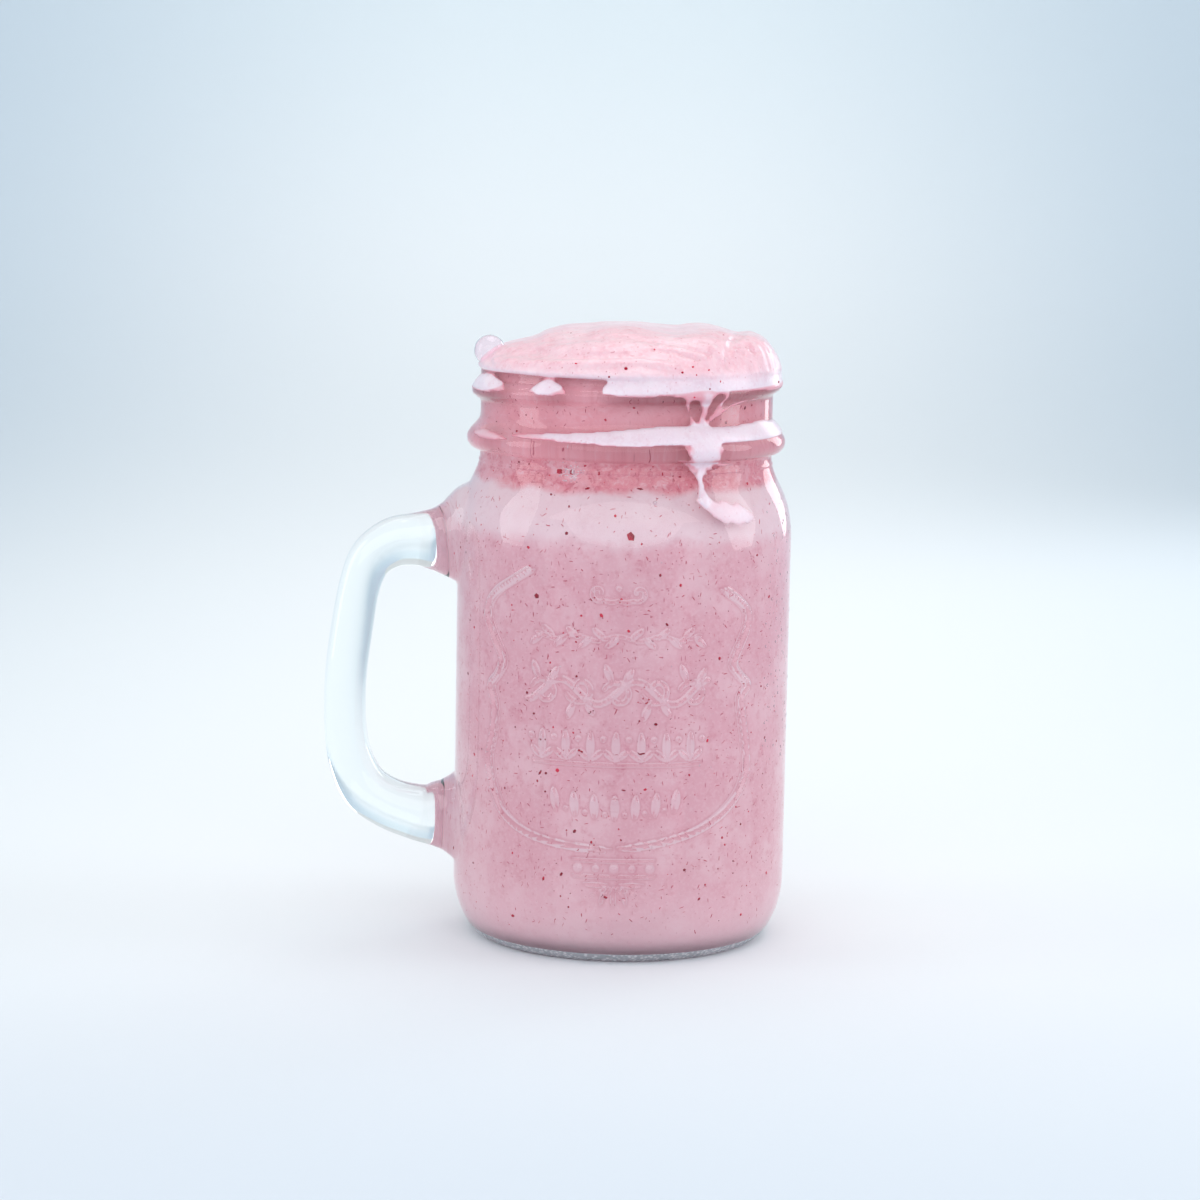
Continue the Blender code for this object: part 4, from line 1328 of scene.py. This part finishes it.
glass_material = soda_lime_glass()
dress(jar_glass, glass_material, "glass", "jar")
jar_glass.data.materials.append(stippled_glass())
STIPPLED_UP_TO = 2.3 * MM
middles = np.empty(len(jar_glass.data.polygons) * 3)
jar_glass.data.polygons.foreach_get("center", middles)
_, radius, height = cylinder_places(middles.reshape(-1, 3))
on_foot = (height < STIPPLED_UP_TO) & (radius > FOOT_RADIUS - FOOT_WIDTH - MM)
jar_glass.data.polygons.foreach_set("material_index", on_foot.astype(np.int32))
print("stippled faces:", int(on_foot.sum()))
dress(shake_filling, shake_behind_glass(), "fruit_shake", "drink")
dress(shake_heap, shake_in_air(), "fruit_shake", "drink")
print("dressed:", jar_glass.name, shake_filling.name, shake_heap.name)

# %% [markdown]
# ## Seeds and berry skin
#
# Blending leaves small seeds and scraps of dark skin. Those that show from a step away are real
# pieces. Each is put where the photograph shows it: a ray goes from the camera through that pixel,
# bends at the glass and stops on the drink, or stops on the heap if it meets that first.

# %% Where a pixel lands on the drink
def photo_ray(across, down):
    """The camera ray through this pixel of the 1200 by 1200 photograph."""
    flat = Vector((across - PHOTO_SIZE / 2, PHOTO_SIZE / 2 - down, -FOCAL_PIXELS))
    return Vector(CAMERA_PLACE), (camera.matrix_world.to_3x3() @ flat).normalized()


def bent(direction, normal, ratio):
    """Snell's law for a ray that enters a surface."""
    cosine = -direction.dot(normal)
    rest = 1 - ratio * ratio * (1 - cosine * cosine)
    return (direction * ratio + normal * (ratio * cosine - math.sqrt(max(rest, 0.0)))).normalized()


def seen_at(across, down):
    """(place, outward normal) on the drink where this pixel shows it."""
    start, direction = photo_ray(across, down)
    hit_heap, heap_place, heap_normal, _ = shake_heap.ray_cast(start, direction)
    hit_glass, glass_place, glass_normal, _ = jar_glass.ray_cast(start, direction)
    heap_first = hit_heap and (not hit_glass or (heap_place - start).length < (glass_place - start).length)
    if heap_first or not hit_glass:
        return (heap_place, heap_normal) if hit_heap else None
    inside = bent(direction, glass_normal, 1 / GLASS_IOR)
    hit, place, normal, _ = shake_filling.ray_cast(glass_place + inside * 0.01 * MM, inside)
    return (place, normal) if hit else None


# %% Seeds
# Pixel across and down in the photograph, then half length and half width in millimetres
SEEDS_SHOWN = (
    (631.0, 536.5, 1.15, 0.92), (536.7, 595.9, 0.72, 0.66), (566.5, 533.3, 0.45, 0.4),
    (601.5, 615.5, 0.62, 0.4), (628.7, 631.2, 0.42, 0.36), (526.7, 699.9, 0.42, 0.38),
    (550.1, 662.6, 0.34, 0.24), (667.1, 624.6, 0.5, 0.3), (701.4, 640.2, 0.5, 0.2),
    (690.7, 679.9, 0.36, 0.24), (747.4, 680.6, 0.28, 0.26), (557.4, 770.3, 0.55, 0.5),
    (540.0, 772.4, 0.8, 0.3), (645.2, 789.7, 0.46, 0.34), (623.5, 790.4, 0.6, 0.2),
    (574.4, 831.2, 0.55, 0.42), (503.1, 740.6, 0.26, 0.24), (541.8, 739.6, 0.28, 0.26),
    (639.5, 721.2, 0.3, 0.26), (641.7, 754.0, 0.55, 0.25), (707.3, 740.6, 0.5, 0.34),
    (474.4, 754.3, 0.6, 0.36), (504.8, 788.0, 0.35, 0.3), (561.2, 874.1, 0.6, 0.36),
    (543.3, 878.4, 0.6, 0.32), (473.2, 862.8, 0.45, 0.26), (699.0, 898.9, 0.42, 0.34),
    (722.1, 837.6, 0.4, 0.32), (620.9, 840.2, 0.3, 0.22), (512.8, 915.9, 0.55, 0.4),
    (560.5, 896.1, 0.26, 0.22), (607.7, 896.6, 0.4, 0.28), (734.4, 800.8, 0.36, 0.26),
    (519.0, 462.0, 0.42, 0.38), (571.5, 472.0, 0.6, 0.44), (559.5, 471.0, 0.5, 0.8),
    (585.0, 465.5, 0.4, 0.34), (599.0, 473.0, 0.34, 0.28), (587.5, 488.5, 0.7, 0.32),
    (640.0, 489.0, 0.85, 0.28),
    (673.0, 476.0, 0.3, 0.24), (537.0, 407.0, 0.3, 0.26), (526.0, 415.0, 0.26, 0.24),
    (745.0, 408.0, 0.5, 0.36), (726.0, 423.0, 0.42, 0.22), (626.0, 368.5, 0.5, 0.44),
    (634.0, 408.0, 0.36, 0.6), (605.5, 420.0, 0.4, 0.26), (682.5, 372.5, 0.38, 0.3),
    (693.0, 367.0, 0.34, 0.28), (709.0, 370.0, 0.34, 0.22), (696.5, 375.0, 0.24, 0.2),
    (710.0, 389.0, 0.3, 0.2), (654.5, 349.5, 0.26, 0.22), (723.5, 335.0, 0.3, 0.16),
    (778.5, 382.0, 0.3, 0.4), (571.0, 333.0, 0.26, 0.18), (576.0, 363.5, 0.4, 0.22),
    (694.5, 397.5, 0.26, 0.24), (720.5, 381.5, 0.3, 0.18), (609.0, 377.0, 0.3, 0.28),
)
SMALL_SEEDS_ROUND = 520
SMALL_FIBRES_ROUND = 2200
# In millimetres: sizes, and the heights between which grains lie on the filling
SEED_SIZES = (0.12, 0.34)
FIBRE_SIZES = (0.15, 0.7)
GRAIN_HEIGHTS = (7, 129)
RAY_START = 60 * MM

draw = random.Random(11)


def add_grain(shape, place, normal, half_long, half_wide, spin, flatness=1.0):
    """A small rounded lump that lies on a surface, half in it."""
    side = normal.orthogonal().normalized()
    side = Matrix.Rotation(spin, 3, normal) @ side
    upright = normal.cross(side)
    made = bmesh.ops.create_icosphere(shape, subdivisions=1, radius=1.0)["verts"]
    for point in made:
        x, y, z = point.co
        rough = 1.0 + 0.12 * math.sin(7 * x + 5 * y + 3 * spin)
        point.co = place + (side * x * half_long + upright * y * half_wide * rough
                            + normal * z * half_wide * flatness) * MM


def side_point(piece, azimuth, height):
    """(hit, place, normal) where a ray from outside, straight at the axis, meets the piece."""
    start = round_the_jar(azimuth, RAY_START, height)
    inward = (Vector((AXIS_X, 0.0, height)) - start).normalized()
    return piece.ray_cast(start, inward)[:3]


def as_piece(name, shape):
    mesh = bpy.data.meshes.new(name)
    bmesh.ops.recalc_face_normals(shape, faces=shape.faces)
    shape.to_mesh(mesh)
    shape.free()
    mesh.shade_smooth()
    piece = bpy.data.objects.new(name, mesh)
    bpy.context.scene.collection.objects.link(piece)
    return piece


shape = bmesh.new()
missed = []
for across, down, half_long, half_wide in SEEDS_SHOWN:
    found = seen_at(across, down)
    if found is None:
        missed.append((across, down))
        continue
    place, normal = found
    sunk_place = place - normal * half_wide * 0.35 * MM
    add_grain(shape, sunk_place, normal, half_long, half_wide, draw.uniform(0, 3.1))
for _ in range(SMALL_SEEDS_ROUND):
    _, place, normal = side_point(shake_filling, draw.uniform(-180, 180), draw.uniform(*GRAIN_HEIGHTS) * MM)
    size = SEED_SIZES[0] + (SEED_SIZES[1] - SEED_SIZES[0]) * draw.random() ** 3
    add_grain(shape, place, normal, size * draw.uniform(1.0, 1.5), size, draw.uniform(0, 3.1))
berry_seeds = as_piece("berry_seeds", shape)

shape = bmesh.new()
for _ in range(SMALL_FIBRES_ROUND):
    _, place, normal = side_point(shake_filling, draw.uniform(-180, 180), draw.uniform(*GRAIN_HEIGHTS) * MM)
    size = draw.uniform(*FIBRE_SIZES)
    add_grain(shape, place, normal, size, 0.07 * draw.uniform(0.7, 1.7), draw.uniform(0, 3.1))
berry_skin = as_piece("berry_skin", shape)
print("seeds:", len(SEEDS_SHOWN) - len(missed), "placed by eye,", SMALL_SEEDS_ROUND, "scattered")


# %% Seed and skin materials
def berry_material(name, dark, light, roughness):
    """Wet berry seed or skin: nearly black red to bright red, each scrap its own shade."""
    made, tree, out, place = new_material(name)
    shade = add_node(tree, "ShaderNodeTexNoise", Vector=place, Scale=1 / (4 * MM), Detail=2.0).outputs[0]
    colour = layer(tree, linear(dark), linear(light), shade, 0.38, 0.62)
    skin = add_node(tree, "ShaderNodeBsdfPrincipled", Base_Color=colour, Roughness=roughness)
    skin.inputs["Specular IOR Level"].default_value = 0.05
    tree.links.new(skin.outputs[0], out.inputs["Surface"])
    return made


dress(berry_seeds, berry_material("berry_seed", "#98142e", "#e03450", 0.4), "fruit_shake", "drink")
dress(berry_skin, berry_material("berry_skin", "#cc4a62", "#de7e90", 0.5), "fruit_shake", "drink")

# %% [markdown]
# ## Air bubbles
#
# A patch of small air bubbles clings to the glass under the bead, where the drink was poured, and
# one large soap-like bubble sits on the rim at the left. The small ones are beads of pale foam
# against the glass. The large one is a thin skin of drink: a sphere given a real wall with
# Solidify, so that light bends a little at its edge and hardly at all in its middle.

# %% Small bubbles
# Pixels of the photograph, with the lone bubbles' radius and the heights in millimetres
BUBBLE_PATCH = (571.0, 473.0)
BUBBLE_PATCH_SPREAD = (10.5, 8.5)
PATCH_BUBBLES = 120
LONE_BUBBLES = ((655.0, 503.0, 0.85), (519.5, 541.0, 0.28), (700.0, 498.0, 0.5))
SCATTERED_BUBBLES = 60
BUBBLE_HEIGHTS = (20, 112)

shape = bmesh.new()
for _ in range(PATCH_BUBBLES):
    across = BUBBLE_PATCH[0] + draw.gauss(0.0, 0.5) * BUBBLE_PATCH_SPREAD[0]
    down = BUBBLE_PATCH[1] + draw.gauss(0.0, 0.5) * BUBBLE_PATCH_SPREAD[1]
    found = seen_at(across, down)
    if found:
        size = 0.08 + 0.2 * draw.random() ** 2
        add_grain(shape, found[0], found[1], size, size, 0.0)
for across, down, size in LONE_BUBBLES:
    found = seen_at(across, down)
    if found:
        add_grain(shape, found[0] - found[1] * 0.6 * size * MM, found[1], size, size, 0.0)
for _ in range(SCATTERED_BUBBLES):
    _, place, normal = side_point(shake_filling, draw.uniform(-180, 180), draw.uniform(*BUBBLE_HEIGHTS) * MM)
    size = draw.uniform(0.08, 0.2)
    add_grain(shape, place, normal, size, size, 0.0)
foam_bubbles = as_piece("foam_bubbles", shape)
print("small bubbles:", triangles(foam_bubbles), "triangles")

# %% The bubble on the rim
BUBBLE_RADIUS = 3.5 * MM
BUBBLE_PLACE = (AXIS_X - 31.1 * MM, -5.0 * MM, 134.0 * MM)
BUBBLE_SKIN = 0.10 * MM
bpy.ops.object.select_all(action="DESELECT")
bpy.ops.mesh.primitive_ico_sphere_add(subdivisions=5, radius=BUBBLE_RADIUS, location=BUBBLE_PLACE)
rim_bubble = bpy.context.object
rim_bubble.name = rim_bubble.data.name = "rim_bubble"
bake_place(rim_bubble)
apply_modifier(rim_bubble, "SOLIDIFY", thickness=BUBBLE_SKIN, offset=-1.0)
only(rim_bubble)
bpy.ops.object.shade_smooth()
print("bubble on the rim:", round(2 * BUBBLE_RADIUS / MM, 1), "mm across")


# %% [markdown]
# ## Condensation
#
# The jar is cold, so fine droplets stand on its right side, out of the way of fingers. A ray sent
# straight at the axis finds the glass, and each droplet is a flat bead there.

# %% Droplets
DROPLETS = 150
DROPLET_AZIMUTHS = (56, 84)
DROPLET_HEIGHTS = (44, 104)
shape = bmesh.new()
for _ in range(DROPLETS):
    azimuth, height = draw.uniform(*DROPLET_AZIMUTHS), draw.uniform(*DROPLET_HEIGHTS) * MM
    hit, place, normal = side_point(jar_glass, azimuth, height)
    if hit:
        size = 0.14 + 0.26 * draw.random() ** 2
        add_grain(shape, place, normal, size, size * draw.uniform(0.8, 1.0), draw.uniform(0, 3.1), 0.35)
droplets = as_piece("droplets", shape)
print("droplets:", DROPLETS)


# %% Bubble materials
def foam_material():
    """Foam against glass: tiny walls of drink that scatter light, so almost white and glossy."""
    made, tree, out, place = new_material("milk_foam")
    tone = add_node(tree, "ShaderNodeTexNoise", Vector=place, Scale=1 / (0.6 * MM)).outputs[0]
    colour = layer(tree, linear("#e6bccb"), linear("#fdeff4"), tone, 0.4, 0.6)
    foam = add_node(tree, "ShaderNodeBsdfPrincipled", Base_Color=colour, Roughness=0.15, Coat_Weight=0.6)
    tree.links.new(foam.outputs[0], out.inputs["Surface"])
    return made


def film_material():
    """A skin of thin milk: clear, smooth, IOR 1.34, the least bit pink."""
    return see_through("bubble_film", ("#fff6fa", "#fdf4f8"), 0.02, 1.34, (2.5 * MM, 2.0, 0.2, 0.05 * MM))[0]


def water_material():
    """Clean water, IOR 1.33."""
    return see_through("condensed_water", ("#f8fcff", "#fafdff"), 0.03, 1.33)[0]


dress(droplets, water_material(), "glass", "jar")
dress(foam_bubbles, foam_material(), "fruit_shake", "drink")
dress(rim_bubble, film_material(), "fruit_shake", "drink")

# %% [markdown]
# ## The studio
#
# The jar stands on a sweep of pale paper that curves up all round, so no horizon shows from any
# side. A wide softbox in front lights the drink through the glass, one overhead the heap, and three
# at the sides brighten the edges. One more lights the paper behind, and pale sky light fills the rest.

# %% Paper sweep
SWEEP_FLAT = 0.75
SWEEP_RADIUS = 1.5
SWEEP_HEIGHT = 0.6
sweep_profile = [(0.0, 0.0), (0.3, 0.0), (0.55, 0.0)] + bezier(
    (SWEEP_FLAT, 0.0), (SWEEP_RADIUS, 0.0), (SWEEP_RADIUS, 0.1), (SWEEP_RADIUS, SWEEP_HEIGHT), 30
)
paper_sweep = turn_on_the_wheel("paper_sweep", sweep_profile, ((360.0, 96),))
only(paper_sweep)
bpy.ops.object.shade_smooth()


def paper_material():
    """Matte seamless paper with a very fine tooth, cooler and darker away from the jar as painted falloff of
    the light.
    """
    made, tree, out, place = new_material("seamless_paper")
    tooth = add_node(tree, "ShaderNodeTexNoise", Vector=place, Scale=1 / (2 * MM), Detail=2.0).outputs[0]
    faint = add_node(tree, "ShaderNodeMath", {"operation": "MULTIPLY"}, i0=tooth, i1=0.04).outputs[0]
    sides = add_node(tree, "ShaderNodeSeparateXYZ", Vector=place).outputs
    aside = add_node(tree, "ShaderNodeMath", {"operation": "ABSOLUTE"}, i0=sides["X"]).outputs[0]
    # Darker up the sweep, to the sides and towards the front: painted falloff of the light
    colour = layer(tree, linear("#f0f3f5"), linear("#e2ebef"), sides["Z"], 0.05, 0.35)
    colour = layer(tree, colour, linear("#c5d2dc"), aside, 0.04, 0.5)
    colour = layer(tree, colour, linear("#dbe3ec"), sides["Y"], 0.05, -0.25)
    colour = layer(tree, colour, linear("#c8d4de"), share=faint)
    paper = add_node(tree, "ShaderNodeBsdfPrincipled", Base_Color=colour, Roughness=0.85)
    paper.inputs["Specular IOR Level"].default_value = 0.2
    tree.links.new(paper.outputs[0], out.inputs["Surface"])
    return made


paper_sweep.data.materials.append(paper_material())


# %% Lights
def softbox(name, place, target, size, power):
    lamp = bpy.data.lights.new(name, "AREA")
    lamp.shape = "ELLIPSE"
    lamp.size, lamp.size_y = size
    lamp.energy = power
    made = bpy.data.objects.new(name, lamp)
    bpy.context.scene.collection.objects.link(made)
    made.location = place
    made.rotation_euler = (Vector(target) - Vector(place)).to_track_quat("-Z", "Y").to_euler()
    made.visible_camera = False
    return made


softbox("overhead_softbox", (0.06, 0.05, 0.80), (0.01, 0.0, 0.08), (0.6, 0.5), 1.25)
softbox("front_softbox", (0.0, -1.15, 0.50), (0.01, 0.0, 0.07), (3.4, 1.1), 8.8)
softbox("left_softbox", (-0.95, -0.15, 0.35), (0.0, 0.0, 0.08), (0.5, 0.9), 1.8)
softbox("right_softbox", (0.95, -0.05, 0.35), (0.0, 0.0, 0.08), (0.5, 0.9), 2.2)
softbox("right_rim_softbox", (0.55, 0.70, 0.30), (0.0, 0.0, 0.08), (0.3, 0.6), 0.9)
softbox("background_softbox", (0.0, 0.65, 1.1), (0.0, 1.5, 0.28), (1.8, 0.4), 3.8)

world = bpy.data.worlds.new("pale_sky")
bpy.context.scene.world = world
world.use_nodes = True
world.node_tree.nodes["Background"].inputs["Color"].default_value = linear("#eff4f7")
world.node_tree.nodes["Background"].inputs["Strength"].default_value = 0.75
bpy.context.scene.view_settings.view_transform = "Standard"
